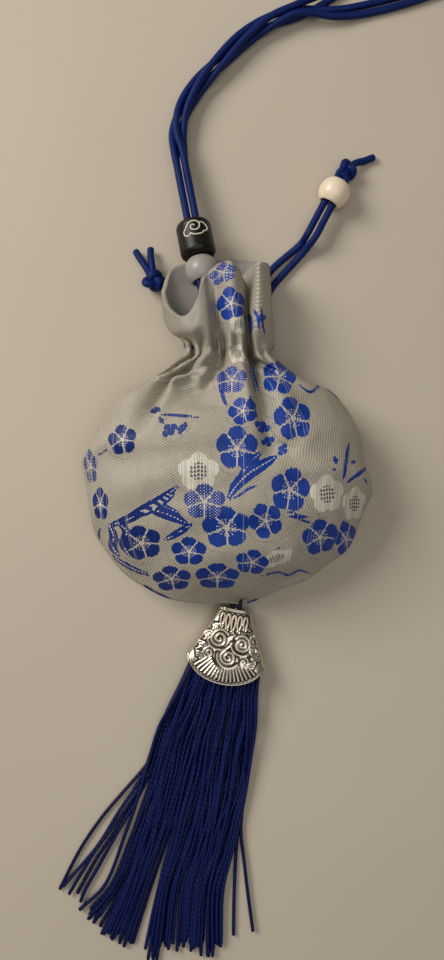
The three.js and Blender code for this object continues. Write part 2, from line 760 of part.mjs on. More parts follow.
const tassel = new THREE.Group();
tassel.position.copy(tasselPivot);
tassel.rotation.z = THREE.MathUtils.degToRad(tasselTilt);
tassel.add(named('tassel_loop', tasselLoop(), threadBlue));
tassel.add(named('tassel_cap', tasselCap(), silver));
tassel.add(named('tassel_binding', tasselBinding(), threadBlue));
tassel.add(named('tassel_skein', tasselSkein(), threadBlue));
pouch.add(tassel);

// The origin is the middle of the object's footprint, without its cords, on the table.
pouch.updateMatrixWorld(true);
const footprint = new THREE.Box3().setFromObject(pouch, true);
const part = new THREE.Group();
part.add(pouch, ...cords);
part.children.forEach((child) => {
  child.position.x -= (footprint.min.x + footprint.max.x) / 2;
  child.position.y -= (footprint.min.y + footprint.max.y) / 2;
  child.position.z -= footprint.min.z;
});

export default part;
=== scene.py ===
# Kinchaku drawstring pouch: brocade bag on its back, two drawcords, three beads and a tassel.
# Metres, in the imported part's frame: +X right, +Y towards the mouth, +Z up, floor at zero.

import math
from functools import partial

import bmesh
import bpy
import numpy as np
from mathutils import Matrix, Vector, noise


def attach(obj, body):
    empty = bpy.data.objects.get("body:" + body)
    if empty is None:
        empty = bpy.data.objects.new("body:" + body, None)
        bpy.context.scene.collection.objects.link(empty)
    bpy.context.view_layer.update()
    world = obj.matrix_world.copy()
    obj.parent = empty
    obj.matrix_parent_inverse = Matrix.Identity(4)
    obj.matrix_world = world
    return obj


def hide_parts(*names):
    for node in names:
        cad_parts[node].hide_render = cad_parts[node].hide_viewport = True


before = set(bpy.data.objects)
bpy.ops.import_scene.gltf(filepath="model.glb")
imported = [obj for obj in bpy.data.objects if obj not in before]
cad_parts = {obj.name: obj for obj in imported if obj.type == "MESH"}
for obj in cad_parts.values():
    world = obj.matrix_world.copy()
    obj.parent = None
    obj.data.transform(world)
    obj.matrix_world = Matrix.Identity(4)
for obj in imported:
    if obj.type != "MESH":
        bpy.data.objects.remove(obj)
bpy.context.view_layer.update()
MM = 0.001


# Camera
# Straight above the pouch and close to it, as a telephone is held over a table. The lens is
# wide enough that the cords leave the picture at its top.

camera_at = (-0.773 * MM, 24.868 * MM, 230 * MM)
picture_half_height = 137.14 * MM

camera_data = bpy.data.cameras.new("camera")
camera_data.sensor_fit = "VERTICAL"
camera_data.sensor_height = 24
camera_data.lens = 12 * camera_at[2] / picture_half_height
camera_data.clip_start = 0.005


def new_object(name, data):
    """An object with its data, in the scene."""
    made = bpy.data.objects.new(name, data)
    bpy.context.scene.collection.objects.link(made)
    return made


camera = new_object("camera", camera_data)
camera.location = camera_at
bpy.context.scene.camera = camera


# Table top and lights
# A plain, pale, warm grey table top under soft light from above and from the upper left, so
# that the shadows are wide and fall a little to the lower right.

bpy.context.scene.view_settings.view_transform = "Standard"


def node(tree, kind, inputs=None, **settings):
    """Adds a shader node with its settings, and its inputs as values or as links."""
    made = tree.nodes.new(kind)
    for key, value in settings.items():
        setattr(made, key, value)
    for key, value in (inputs or {}).items():
        if isinstance(value, bpy.types.NodeSocket):
            tree.links.new(value, made.inputs[key])
        else:
            made.inputs[key].default_value = value
    return made


def between(share, first, second):
    """Mixes two colours, each a value or a socket, by a share."""
    mixed = node(share.id_data, "ShaderNodeMix", {0: share, 6: first, 7: second}, data_type="RGBA")
    return mixed.outputs[2]


def paint(red, green, blue):
    """A screen colour from 0 to 255 as a linear colour."""
    def linear(value):
        share = value / 255
        return share / 12.92 if share <= 0.04045 else ((share + 0.055) / 1.055) ** 2.4
    return (linear(red), linear(green), linear(blue), 1)


def new_material(name, **sockets):
    """A material and its Principled shader, with numbers set on the shader's sockets."""
    material = bpy.data.materials.new(name)
    material.use_nodes = True
    shader = material.node_tree.nodes["Principled BSDF"]
    for key, value in sockets.items():
        shader.inputs[key.replace("_", " ")].default_value = value
    return material, shader


def feed(shader, key, value):
    """Links a socket to one of the shader's own."""
    shader.id_data.links.new(value, shader.inputs[key])


def places_on(shader):
    """The piece's own Object coordinates."""
    return node(shader.id_data, "ShaderNodeTexCoord").outputs["Object"]


def speckle(place, scale, detail, distortion=0):
    """Noise at a place."""
    inputs = {"Vector": place, "Scale": scale, "Detail": detail, "Distortion": distortion}
    return node(place.id_data, "ShaderNodeTexNoise", inputs).outputs["Fac"]


table_paint, shader = new_material("table_paint", Roughness=0.55, Specular_IOR_Level=0.3)
mottle = speckle(places_on(shader), 9, 2)
feed(shader, "Base Color", between(mottle, paint(186, 175, 159), paint(198, 188, 173)))

bpy.ops.object.select_all(action="DESELECT")
bpy.ops.mesh.primitive_plane_add(size=12, location=(0, 0, 0))
table_top = bpy.context.object
table_top.name = "table_top"
table_top.data.materials.append(table_paint)

world = bpy.data.worlds.new("room")
bpy.context.scene.world = world
world.use_nodes = True
world.node_tree.nodes["Background"].inputs["Color"].default_value = paint(214, 208, 200)
world.node_tree.nodes["Background"].inputs["Strength"].default_value = 0.24


def soft_lamp(name, at, towards, size, watts, colour):
    """A square lamp, as a photographer's soft box."""
    lamp = bpy.data.lights.new(name, "AREA")
    lamp.size = size
    lamp.energy = watts
    lamp.color = colour[:3]
    holder = new_object(name, lamp)
    holder.location = at
    holder.rotation_euler = (Vector(towards) - Vector(at)).to_track_quat("-Z", "Y").to_euler()


soft_lamp("key_lamp", (-0.44, 0.34, 0.44), (0, 0.02, 0), 0.34, 3.7, (1, 0.95, 0.88))
soft_lamp("top_lamp", (0.1, -0.1, 1.1), (0, 0, 0), 0.8, 3, (1, 0.97, 0.93))


# Drawcords
# Two smooth round cords of braided nylon, each a closed sling: its two strands leave one side
# seam of the casing and end in a knot, and its middle hangs from the mouth through the beads.

cord_diameter = 2
cord_spacing = 2.34
cord_sides = 14
casing_middle = np.array([1.227, 61.518, 10])
left_slit = np.array([-10.373, 61.518, 0])
right_slit = np.array([12.827, 61.518, 0])
mouth = np.array([-2.373, 83.718, 0])
bead_line_start = np.array([-6.273, 82.018, 10.5])
bead_line = np.array([-0.186549, 0.967634, -0.169953])
pull_line_start = np.array([30.627, 105.318, 4.5])
pull_line = np.array([0.469986, 0.882674, 0])


def line_frame(direction):
    across = np.cross(direction, (0, 0, 1))
    across /= np.linalg.norm(across)
    return across, np.cross(across, direction)


def on_line(start, direction, along, across, above):
    """A point beside a bead's line, in millimetres."""
    side, high = line_frame(direction)
    return start + direction * along + side * across + high * above


def lengths_along(line):
    """The length from a line's start to each of its points."""
    return np.concatenate([[0], np.cumsum(np.linalg.norm(np.diff(line, axis=0), axis=1))])


def smooth_line(points, step):
    """A smooth line through points, with a point every step."""
    given = np.array(points, float)
    given = np.vstack([2 * given[0] - given[1], given, 2 * given[-1] - given[-2]])
    share = np.linspace(0, 1, 24, endpoint=False)[:, None]
    runs = []
    for before, start, end, after in zip(given, given[1:], given[2:], given[3:]):
        reach = np.linalg.norm(end - start)
        leave = (end - before) * reach / (reach + np.linalg.norm(start - before))
        arrive = (after - start) * reach / (reach + np.linalg.norm(after - end))
        runs.append(
            (2 * share**3 - 3 * share**2 + 1) * start + (share**3 - 2 * share**2 + share) * leave
            + (3 * share**2 - 2 * share**3) * end + (share**3 - share**2) * arrive
        )
    fine = np.vstack([*runs, given[-2:-1]])
    along = lengths_along(fine)
    at = np.linspace(0, along[-1], max(3, round(along[-1] / step) + 1))
    return np.column_stack([np.interp(at, along, fine[:, k]) for k in range(3)])


def add_tubes(name, lines, radii, sides, material, rounded=True):
    """One mesh of round tubes along lines in millimetres. The UV map is the turn round a tube,
    and the length along it in millimetres. The attribute strand differs from tube to tube."""
    places, faces, uvs, strands = [], [], [], []
    angles = 2 * math.pi * np.arange(sides)[:, None] / sides
    for count, (line, radius) in enumerate(zip(lines, radii)):
        radius = np.full(len(line), float(radius))
        tangent = np.gradient(line, axis=0)
        tangent /= np.linalg.norm(tangent, axis=1)[:, None]
        along = lengths_along(line)
        if rounded:
            back, past = np.array([[-0.55], [-0.3]]), np.array([[0.3], [0.55]])
            line = np.vstack([line[0] + tangent[0] * radius[0] * back, line,
                              line[-1] + tangent[-1] * radius[-1] * past])
            radius = np.concatenate([radius[0] * np.array([0.5, 0.86]), radius,
                                     radius[-1] * np.array([0.86, 0.5])])
            tangent = np.vstack([tangent[:1], tangent[:1], tangent, tangent[-1:], tangent[-1:]])
            along = np.concatenate([[-0.5, -0.3], along, along[-1] + [0.3, 0.5]])
        turned = np.cross(tangent[0], (0.31, 0.2, 0.93))
        first = sides * len(strands)
        for point, direction, size in zip(line, tangent, radius):
            turned = turned - direction * np.dot(turned, direction)
            turned /= np.linalg.norm(turned)
            ring = np.cos(angles) * turned + np.sin(angles) * np.cross(direction, turned)
            places.append(point + size * ring)
        strands += [(count * 0.618) % 1] * len(line)
        for ring, (start, end) in enumerate(zip(along, along[1:])):
            here = first + ring * sides
            for side in range(sides):
                beyond = (side + 1) % sides
                faces.append((here + side, here + beyond, here + sides + beyond, here + sides + side))
                low, high = side / sides, (side + 1) / sides
                uvs += [(low, start), (high, start), (high, end), (low, end)]
        for ring, order in ((0, -1), (len(line) - 1, 1)):
            faces.append(tuple(range(first + ring * sides, first + (ring + 1) * sides))[::order])
            uvs += [(0.5, along[ring])] * sides
    mesh = bpy.data.meshes.new(name)
    mesh.from_pydata((np.concatenate(places) * MM).tolist(), [], faces)
    mesh.uv_layers.new(name="UVMap").data.foreach_set("uv", np.array(uvs, np.float32).ravel())
    strands = np.repeat(np.array(strands, np.float32), sides)
    mesh.attributes.new("strand", "FLOAT", "POINT").data.foreach_set("value", strands)
    mesh.materials.append(material)
    mesh.shade_smooth()
    return new_object(name, mesh)


def sums(operation, *values):
    """One Math node on numbers and sockets."""
    tree = next(value.id_data for value in values if isinstance(value, bpy.types.NodeSocket))
    return node(tree, "ShaderNodeMath", dict(enumerate(values)), operation=operation).outputs[0]


plus, minus, times = (partial(sums, kind) for kind in ("ADD", "SUBTRACT", "MULTIPLY"))
times_plus, larger, sine, cosine = (
    partial(sums, kind) for kind in ("MULTIPLY_ADD", "MAXIMUM", "SINE", "COSINE"))
more_than, less_than = (partial(sums, kind) for kind in ("GREATER_THAN", "LESS_THAN"))


def parts(vector):
    """The X, Y and Z of a vector socket."""
    return node(vector.id_data, "ShaderNodeSeparateXYZ", {0: vector}).outputs


def flat_places(shader):
    """The piece's own UV map."""
    return node(shader.id_data, "ShaderNodeUVMap", uv_map="UVMap").outputs[0]


def relief(shader, height, distance, strength):
    """Bump on the shader from a height socket."""
    inputs = {"Height": height, "Distance": distance, "Strength": strength}
    bump = node(shader.id_data, "ShaderNodeBump", inputs)
    feed(shader, "Normal", bump.outputs["Normal"])


cord_blue, shader = new_material("cord_blue", Roughness=0.5, Specular_IOR_Level=0.2)
around, along, _ = parts(flat_places(shader))
turns = times(around, 6 * 2 * math.pi)
pitch = times(along, 2 * math.pi / 1.15)
braid = larger(sine(plus(turns, pitch)), sine(minus(turns, pitch)))
braid_share = times_plus(braid, 0.5, 0.5)
wear = speckle(places_on(shader), 260, 3)
# The braid is painted darker in its grooves and lighter on its crests, as painted shade and light; the
# speckle over it is wear.
painted_braid_shade = between(braid_share, paint(0, 11, 50), paint(1, 30, 98))
feed(shader, "Base Color", between(times(wear, 0.35), painted_braid_shade, paint(4, 42, 118)))
relief(shader, braid, 0.05 * MM, 0.7)

# Slings from inside the neck, up through the two beads, and round in a wide loop.
turn_at = [0, 12, 60, 95, 130, 165, 200, 240, 270]
bundle_straight = 30.6
bundle_rest = 2.705
bundle_route = [mouth + point for point in [
    (-10.4, 32.8, 4.6), (-10.8, 39.1, 3.5), (-9.2, 45.9, 2.85), (-5.1, 52.5, bundle_rest),
    (0.3, 58.5, bundle_rest), (7.4, 65.4, bundle_rest), (15.1, 70.6, bundle_rest),
    (22.9, 73.6, bundle_rest),
]]
wide_loops = {
    "drawcord_left": [
        (30.9, 79.2, 2.2), (39.2, 85.2, 1.1), (48.7, 92.2, 1.1), (58.7, 98.8, 1.1), (69.7, 104.2, 1.1),
        (80.7, 106.8, 1.1), (88.9, 104.2, 1.1), (91.1, 96.6, 1.1), (86.3, 89.2, 1.1), (76.7, 84.6, 1.1),
        (65.7, 80.6, 1.1), (54.7, 76.8, 1.1), (43.7, 74, 1.1), (34.1, 72.3, 2.2),
    ],
    "drawcord_right": [
        (31.1, 76.8, 1.3), (40.5, 83.1, 1.1), (50.1, 90.1, 1.1), (60, 96.6, 1.1), (70.7, 101.8, 1.1),
        (80.3, 104.1, 1.1), (86.5, 102.4, 1.1), (88.1, 97, 1.1), (84.5, 91.2, 1.1), (75.7, 87, 1.1),
        (64.7, 83, 1.1), (53.9, 79.2, 1.1), (43.3, 76.5, 1.1), (33.5, 74.7, 1.3),
    ],
}


def strand_to_bundle(handed, face):
    across, above = -handed * cord_spacing / 2, face * cord_spacing / 2
    inside = [
        casing_middle + (-handed * 1.6, 6.4, face * 2.6),
        0.75 * on_line(bead_line_start, bead_line, -8, across, above)
        + 0.25 * (casing_middle + (-handed * 1.6, 11, face * 2)),
    ]
    held = [on_line(bead_line_start, bead_line, along, across, above) for along in (-4, 2, 8, 15, 22.6)]
    middles = np.array([on_line(bead_line_start, bead_line, bundle_straight, 0, 0), *bundle_route])
    tangents = np.gradient(middles, axis=0)
    start_angle = math.degrees(math.atan2(above, across))
    radius = cord_spacing / math.sqrt(2)
    loose = []
    for middle, tangent, turn in zip(middles, tangents, turn_at):
        angle = math.radians(start_angle + turn)
        direction = tangent / np.linalg.norm(tangent)
        loose.append(on_line(middle, direction, 0, radius * math.cos(angle), radius * math.sin(angle)))
    return inside + held + loose


def declare_cord(piece, cord_node):
    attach(piece, "pouch")
    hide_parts(cord_node)


for cord_node, handed in (("drawcord_left", 1), ("drawcord_right", -1)):
    loop = [mouth + point for point in wide_loops[cord_node]]
    if handed > 0:
        loop.reverse()
    line = smooth_line([*strand_to_bundle(handed, 1), *loop, *strand_to_bundle(handed, -1)[::-1]], 1.1)
    sling = add_tubes(cord_node + "_sling", [line], [cord_diameter / 2], cord_sides, cord_blue)
    declare_cord(sling, cord_node)

# The cut ends: out of the slit in the side seam, to the knot, and past it as a short tail.
left_knot_at = left_slit + (-9.7, 19.4, 3.3)
right_knot_at = pull_line_start + pull_line * 7.6
right_knot_at[2] = 3.2
left_knot_width = 6.4
right_knot_width = 6.2
knot_strand_radius = 1.05


def from_slit(handed, face):
    """The end's first points, from inside the casing to the slit in the side seam."""
    inside = casing_middle + (-handed * 9.9, 0, face * 1.2)
    return [inside, casing_middle + (-handed * 11.3, 0.1, face * 1.2 - 1.7)]


left_ends = [
    [(-0.1, 1.4, 7.4), (-0.4, 4.4, 4.4), (-2, 8.2, 2.6), (-3.8, 12.5, 1.6), (-5.8, 16.5, 1.7),
     (-8.7, 19, 2.9)],
    [(0.2, 1.6, 5.4), (0.4, 5, 2.9), (-0.2, 9, 1.7), (-1.2, 14, 1.3), (-4.2, 18.4, 1.3), (-8.3, 20.2, 2.4)],
]
left_tails = [
    [(-0.2, 0.4, 0.1), (-2.2, 4, -0.1), (-4, 6.8, -1), (-5.1, 8.7, -1.9)],
    [(0.2, 0.4, 0.3), (-0.3, 3.8, 0.5), (-0.8, 7, -0.4), (-0.9, 9.2, -1.3)],
]
right_ends = [
    [(-0.5, 1.2, 7.4), (-0.9, 4.4, 4.4), (-2, 9.5, 2.4), (-2.4, 15.5, 1.5), (-0.4, 21.9, 1.4),
     (8.7, 30.2, 1.7)],
    [(-0.6, 1.6, 5.4), (-0.5, 5.4, 2.9), (-0.4, 9.5, 1.7), (-0.6, 13, 1.4), (0, 17.1, 1.4), (8.7, 27.1, 1.4)],
]
right_tail = [(0.3, 0.7, -0.2), (2.9, 2.5, -1), (5.5, 3.5, -1.9), (8, 4.5, -2.1)]


def tied_knot(name, centre, wide, turned, line_radius):
    """An overhand knot pulled tight: one round of cord through and over itself."""
    turn = np.linspace(0, 2 * math.pi, 73)[:-1]
    knot = np.column_stack([
        np.sin(turn) + 2 * np.sin(2 * turn),
        np.cos(turn) - 2 * np.cos(2 * turn),
        -1.5 * np.sin(3 * turn),
    ]) * (wide / 2 - line_radius) / 3
    knot[:, 0] *= 1.12
    angle = math.radians(turned)
    cos, sin = math.cos(angle), math.sin(angle)
    spin = np.array([[cos, -sin, 0], [sin, cos, 0], [0, 0, 1]])
    line = knot @ spin.T + centre
    return add_tubes(name, [np.vstack([line, line[:1]])], [line_radius], 12, cord_blue, rounded=False)


left_knot = tied_knot("left_knot", left_knot_at, left_knot_width, 35, knot_strand_radius)
right_knot = tied_knot("right_knot", right_knot_at, right_knot_width, 60, knot_strand_radius)
for knot in (left_knot, right_knot):
    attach(knot, "pouch")

for count, face in enumerate((1, -1)):
    route = [*from_slit(1, face), *(left_slit + point for point in left_ends[count]),
             *(left_knot_at + point for point in left_tails[count])]
    line = smooth_line(route, 0.8)
    end = add_tubes(f"left_end_{count + 1}", [line], [cord_diameter / 2], cord_sides, cord_blue)
    declare_cord(end, "drawcord_left")

    across = -face * cord_spacing / 2
    through = [on_line(pull_line_start, pull_line, along, across, 0) for along in (-13.4, -8.8, -3, 2, 4.7)]
    beyond = [right_knot_at + point for point in right_tail] if count == 0 else [right_knot_at]
    route = [*from_slit(-1, face), *(right_slit + point for point in right_ends[count]), *through, *beyond]
    line = smooth_line(route, 0.8)
    end = add_tubes(f"right_end_{count + 1}", [line], [cord_diameter / 2], cord_sides, cord_blue)
    declare_cord(end, "drawcord_right")


# Brocade bag: front and back cloth
# Two pieces of silk brocade, sewn together round the sides and bottom, full and soft below,
# gathered on the cords in the casing, and standing open above it as a loose double frill.

hidden_thickness = 0.12
frill_thickness = 0.6
rim_thickness = 1.4
body_rows = 122
neck_rows = 46
front_columns = 208
back_columns = 104

bag_foot = -9.3
casing_foot = 59
bag_length = casing_foot - bag_foot
widest_at = 34.4
front_rise = 18
shoulder_from_foot = [widest_at, 44, 52, 59.6, 65, 68.4]
shoulder_rise = [1, 1, 0.93, 0.7, 0.5, 0.42]
side_seam_height = 10
bottom_seam_height = 4.6
table_gap = 0.05

bottom_point = (5.2, -10.1)
left_outline = [
    bottom_point, (0.4, -9.3), (-6.1, -9), (-15.3, -7.5), (-22.4, -4.2), (-27.7, -0.4), (-32.5, 5.5),
    (-35.8, 10.9), (-37.1, 18), (-38.2, 24.3), (-38.8, 29), (-37.1, 33.9), (-34.7, 38.3), (-30, 44.3),
    (-24.3, 49.2), (-17.2, 54.1), (-11.4, 59),
]
right_outline = [
    bottom_point, (8, -8.9), (11.6, -7.2), (15.9, -4.8), (22.1, -2.4), (28.2, 1.9), (33.1, 5.5),
    (36.1, 10.9), (38.3, 17.2), (40.2, 21.3), (38.6, 27.1), (37.5, 32), (35.8, 38.8), (33.1, 44.3),
    (28.7, 49.2), (22.6, 51.6), (17.2, 55.2), (12.9, 59),
]

# Gathered neck and frill in front: rows of places across it, from the left seam to the right.
casing_low = [
    (-11.4, 59, 10), (-10.2, 58.4, 14), (-8.7, 58.6, 12.5), (-7.4, 58.1, 16), (-6.4, 58.3, 14.5),
    (-4.5, 57.7, 18.5), (-2.4, 58.3, 14.5), (-1.3, 58, 16.5), (-0.2, 58.3, 14.5), (1.6, 57.7, 18.5),
    (3.5, 57.9, 17), (4.7, 57.6, 19), (6.7, 58.6, 12.5), (8.2, 57.9, 17), (9.9, 58.2, 15.5),
    (11.6, 58.4, 14), (12.9, 59, 10),
]
casing_high = [
    (-11.2, 62.3, 10), (-9.9, 61.5, 14.5), (-9.1, 61.9, 12.5), (-7.7, 61.3, 16), (-6.4, 61.5, 14.5),
    (-4.2, 60.9, 18), (-2.7, 61.6, 14), (-1.6, 61.3, 16), (-0.5, 61.7, 13.5), (1.3, 60.9, 18.5),
    (2.9, 61.1, 17), (4.7, 60.9, 18.5), (6.4, 62.1, 11), (7.7, 61.2, 16.5), (9.6, 61.4, 15.5),
    (11.6, 61.6, 14), (13.4, 62.3, 10),
]
frill_middle = [
    (-16.3, 67.6, 8), (-14.7, 64.8, 13), (-12.1, 63.9, 17), (-9.1, 64, 20), (-6.7, 64.9, 21),
    (-4.4, 66, 20.5), (-2.9, 66.6, 17.5), (-2.1, 67.6, 15), (-1.3, 67.3, 16.5), (1.1, 67.1, 20),
    (2.9, 67, 20.5), (4.7, 67.3, 19), (5.9, 69.5, 11), (6.9, 68.3, 17), (8.9, 67.2, 19.5),
    (11.9, 67.5, 15.5), (13.2, 68.8, 9),
]
frill_rim = [
    (-17.5, 76.5, 9), (-15.8, 71.6, 14), (-12.9, 68.3, 18), (-9.7, 68.6, 19), (-7.1, 73.1, 19),
    (-5.8, 77.8, 17), (-4.5, 80.4, 15), (-2.6, 81.8, 16), (-0.8, 82, 19), (1.8, 82, 20), (4, 80.2, 18),
    (5.7, 77.2, 14), (5, 81.1, 9), (6.8, 82.8, 12), (8.8, 82.5, 17), (11.3, 83.1, 14), (12.4, 83.1, 9),
]

# The same behind, where the cloth lies nearly flat on the table.
back_casing_low = [(-11.4, 59, 10), (-9, 59, 4.5), (-5, 59, 3), (0.7, 59, 2.6), (6.4, 59, 3),
                   (10.4, 59, 4.5), (12.9, 59, 10)]
back_casing_high = [(-11.2, 62.3, 10), (-9, 62.3, 4.5), (-5, 62.3, 3), (0.6, 62.3, 2.6), (6, 62.3, 3),
                    (10, 62.3, 4.5), (13.4, 62.3, 10)]
back_middle = [(-16.3, 67.6, 8), (-12.6, 71.5, 4.6), (-7.4, 72.4, 3.2), (-1, 72.6, 2.6), (4.6, 72.6, 3),
               (9.8, 71.6, 4.2), (13.2, 68.8, 9)]
back_rim = [(-17.5, 76.5, 9), (-15.4, 83.6, 4.4), (-9.8, 85.5, 2), (-2.6, 86.5, 1.4), (4.9, 86.6, 1.7),
            (11, 85.3, 3.6), (12.4, 83.1, 9)]


def spread(points, shares):
    """Places along a smooth curve through evenly numbered points, at shares from 0 to 1."""
    given = np.array(points, float)
    given = np.concatenate([[2 * given[0] - given[1]], given, [2 * given[-1] - given[-2]]])
    at = np.clip(np.asarray(shares, float), 0, 1) * (len(points) - 1)
    start = np.minimum(at.astype(int), len(points) - 2)
    part = (at - start).reshape(-1, *[1] * (given.ndim - 1))
    a, b, c, d = given[start], given[start + 1], given[start + 2], given[start + 3]
    return 0.5 * (2 * b + (c - a) * part + (2 * a - 5 * b + 4 * c - d) * part**2
                  + (3 * b - a - 3 * c + d) * part**3)


def by_length(points, shares):
    """Places along a smooth outline, at shares of its length."""
    fine = spread(points, np.linspace(0, 1, 1200))
    along = lengths_along(fine)
    at = np.asarray(shares) * along[-1]
    return np.column_stack([np.interp(at, along, fine[:, k]) for k in range(fine.shape[1])])


def ease(value):
    value = np.clip(value, 0, 1)
    return value * value * (3 - 2 * value)


def body_surface(columns, front):
    """The full part of the bag, as rows of places from the bottom seam up to the casing."""
    up = np.linspace(0.012, 1, body_rows)
    across = np.linspace(-1, 1, columns)
    left, right = by_length(left_outline, up), by_length(right_outline, up)
    turn = across * math.pi / 2
    share = (across + 1) / 2
    distance = bag_length * up**0.88
    middle_y = bag_foot + distance
    fullness = 1 - (1 - np.minimum(distance / widest_at, 1)) ** 2
    rise = front_rise * fullness**0.7 * np.interp(distance, shoulder_from_foot, shoulder_rise)
    seam = np.minimum(side_seam_height, bottom_seam_height + distance * 0.47)
    depth = seam * np.minimum(1, 2.2 * fullness**0.6)
    depth = depth * np.interp(distance, [52, 68.4], [1, 0.74])
    seam = seam + 0.35 * np.sin(up * 41) * ease(up * 8) * ease((1 - up) * 8)
    arch = np.cos(turn)
    x = (left[:, :1] + right[:, :1]) / 2 + (right[:, :1] - left[:, :1]) / 2 * np.sin(turn)
    side_y = left[:, 1:] * (1 - share) + right[:, 1:] * share
    mean_y = (left[:, 1:] + right[:, 1:]) / 2
    y = side_y + (middle_y[:, None] - mean_y) * arch**0.8
    if front:
        z = seam[:, None] + rise[:, None] * arch**0.9
    else:
        z = seam[:, None] - depth[:, None] * arch**0.5
    return np.stack([x, y, np.maximum(z, table_gap)], axis=2)


def with_neck(body, rows):
    """Leads the body's last rows into the pleats of the casing, and on through the neck's rows."""
    columns = body.shape[1]
    share = np.linspace(0, 1, columns)
    across = [spread(row, share) for row in rows]
    pull = ease((np.arange(body_rows) / (body_rows - 1) - 0.8) / 0.2) ** 1.4
    body = body + (across[0] - body[-1])[None] * pull[:, None, None]
    before = body[-1] - (body[-1] - body[-5]) * 1.2
    levels = np.stack([before, *across])
    at = 1 / (len(levels) - 1) + np.linspace(0, 1, neck_rows + 1)[1:] * (len(levels) - 2) / (len(levels) - 1)
    return np.concatenate([body, spread(levels, at)])


def normals_of(surface):
    along = np.gradient(surface, axis=0)
    across = np.gradient(surface, axis=1)
    normal = np.cross(across, along)
    return normal / np.maximum(np.linalg.norm(normal, axis=2, keepdims=True), 1e-9)


def line_distance(surface, points):
    """How far each place is from a line in plan, and its share of the way along it."""
    points = np.array(points, float)
    nearest = np.full(surface.shape[:2], 1e9)
    share = np.zeros(surface.shape[:2])
    before = lengths_along(points)
    for start, end, done, past in zip(points, points[1:], before, before[1:]):
        long = past - done
        part = np.clip(((surface[:, :, :2] - start) @ (end - start)) / long**2, 0, 1)
        away = np.linalg.norm(surface[:, :, :2] - (start + part[:, :, None] * (end - start)), axis=2)
        closer = away < nearest
        nearest = np.where(closer, away, nearest)
        share = np.where(closer, (done + part * long) / before[-1], share)
    return nearest, share


# Folds of the front cloth: a line in plan, its half width at both ends, and its height at both
# ends, where a valley is negative.
folds = [
    ([(-10.5, 59.9), (-13.2, 56.7), (-17.7, 54.4), (-22.8, 49.6), (-27.7, 43.9), (-32, 38.6)],
     (2.4, 3.4), (3.8, 1.4)),
    ([(-7.4, 56), (-10.5, 53.5), (-13.9, 52.4), (-16.9, 48.3), (-19.8, 43.4), (-22.4, 39.8), (-25, 36.7)],
     (1, 2.2), (-7.5, -1.8)),
    ([(-9.2, 53.4), (-12.8, 51), (-15.5, 46.3), (-18.7, 41.5), (-22, 37.7)], (2, 3), (2.6, 0.6)),
    ([(-15.2, 47.6), (-13.8, 50.4), (-11.8, 51.9), (-9.2, 52.1), (-6.6, 51), (-3.4, 49.6)],
     (1.1, 1.4), (2.6, 3.4)),
    ([(-13, 49.4), (-9.5, 50.2), (-6.4, 49)], (1.4, 1.4), (-1, -1.4)),
    ([(-7, 49.6), (-6.4, 47), (-6.7, 42.3)], (5, 7), (-3, -1)),
    ([(-3.7, 60.6), (-4.7, 56.4), (-5.7, 53.3), (-7.3, 51.6)], (1.5, 2), (1.8, 3)),
    ([(-2.1, 58.7), (-2.3, 54.7), (-3.6, 51.5), (-5.2, 50.2), (-8, 49.6)], (0.9, 1.3), (-3, -2.2)),
    ([(-9.1, 61.8), (-8.5, 57.8), (-8.1, 54)], (0.8, 0.8), (-2.2, -1.6)),
    ([(4.4, 60.3), (4.8, 55), (5.7, 48), (7.6, 40)], (1.7, 2.8), (2.6, 1.8)),
    ([(6.1, 63), (6.7, 59.4), (8.1, 51.9), (9.9, 43.4), (11.4, 38), (11.7, 33), (10.4, 28), (9, 24)],
     (0.9, 3), (-7.5, -1.2)),
    ([(9.9, 61), (12.4, 53.3), (14.9, 45.4), (16.7, 37.6)], (2.4, 4.4), (2.2, 1.8)),
    ([(14.6, 58.8), (17.5, 57), (21.1, 53.3), (25.5, 49)], (1, 1.6), (-1, -0.6)),
    ([(-0.2, 60.5), (-0.8, 56.4), (-1.6, 52.9)], (0.8, 1.1), (-2.6, -1.6)),
    ([(2, 60.5), (2.3, 56), (3, 50)], (0.8, 1.4), (-1.8, -0.8)),
    ([(9.9, 60), (11, 57), (12.6, 52)], (0.8, 1.2), (-2, -0.8)),
    ([(-4.6, 61), (-4.4, 57.4), (-4.6, 54.4)], (0.8, 1), (-1.6, -1.2)),
    ([(12, 58), (17, 53.5), (24, 47)], (1.6, 3), (1.4, 0.8)),
    ([(-34, 33), (-28, 30), (-20, 31)], (2.4, 5), (-1.2, -0.6)),
    ([(14, 36), (17, 28), (22, 20)], (2.6, 5), (-1, -0.5)),
    ([(18, 35), (24, 30), (33, 27)], (4, 5), (0.9, 0.7)),
    ([(-30, 20), (-20, 24), (-10, 25)], (5, 5), (0.7, 0.6)),
    ([(22, 0), (15, -2), (8, -6)], (2, 2), (-0.9, -0.6)),
]


def softened(grid, reach):
    """The grid averaged over its neighbours, a few times."""
    for _ in range(reach):
        padded = np.pad(grid, ((1, 1), (1, 1), (0, 0)), mode="edge")
        grid = (padded[:-2, 1:-1] + padded[2:, 1:-1] + padded[1:-1, :-2] + padded[1:-1, 2:] + 2 * grid) / 6
    return grid


def folded(surface):
    push = np.zeros(surface.shape[:2])
    for points, width, height in folds:
        away, share = line_distance(surface, points)
        ends = ease(share / 0.16) * ease((1 - share) / 0.3)
        wide = width[0] + (width[1] - width[0]) * share
        push += (height[0] + (height[1] - height[0]) * share) * ends * np.exp(-((away / wide) ** 2))
    edge = np.abs(np.linspace(-1, 1, surface.shape[1]))
    push *= ease((1 - edge) / 0.08)[None]
    push = softened(push[:, :, None], 2)
    outward = softened(normals_of(softened(surface, 12)), 6)
    upward = ease((np.arange(len(surface)) / body_rows - 0.7) / 0.22)[:, None, None]
    outward = outward * (1 - upward) + np.array([0, 0, 1]) * upward
    return surface + outward * push


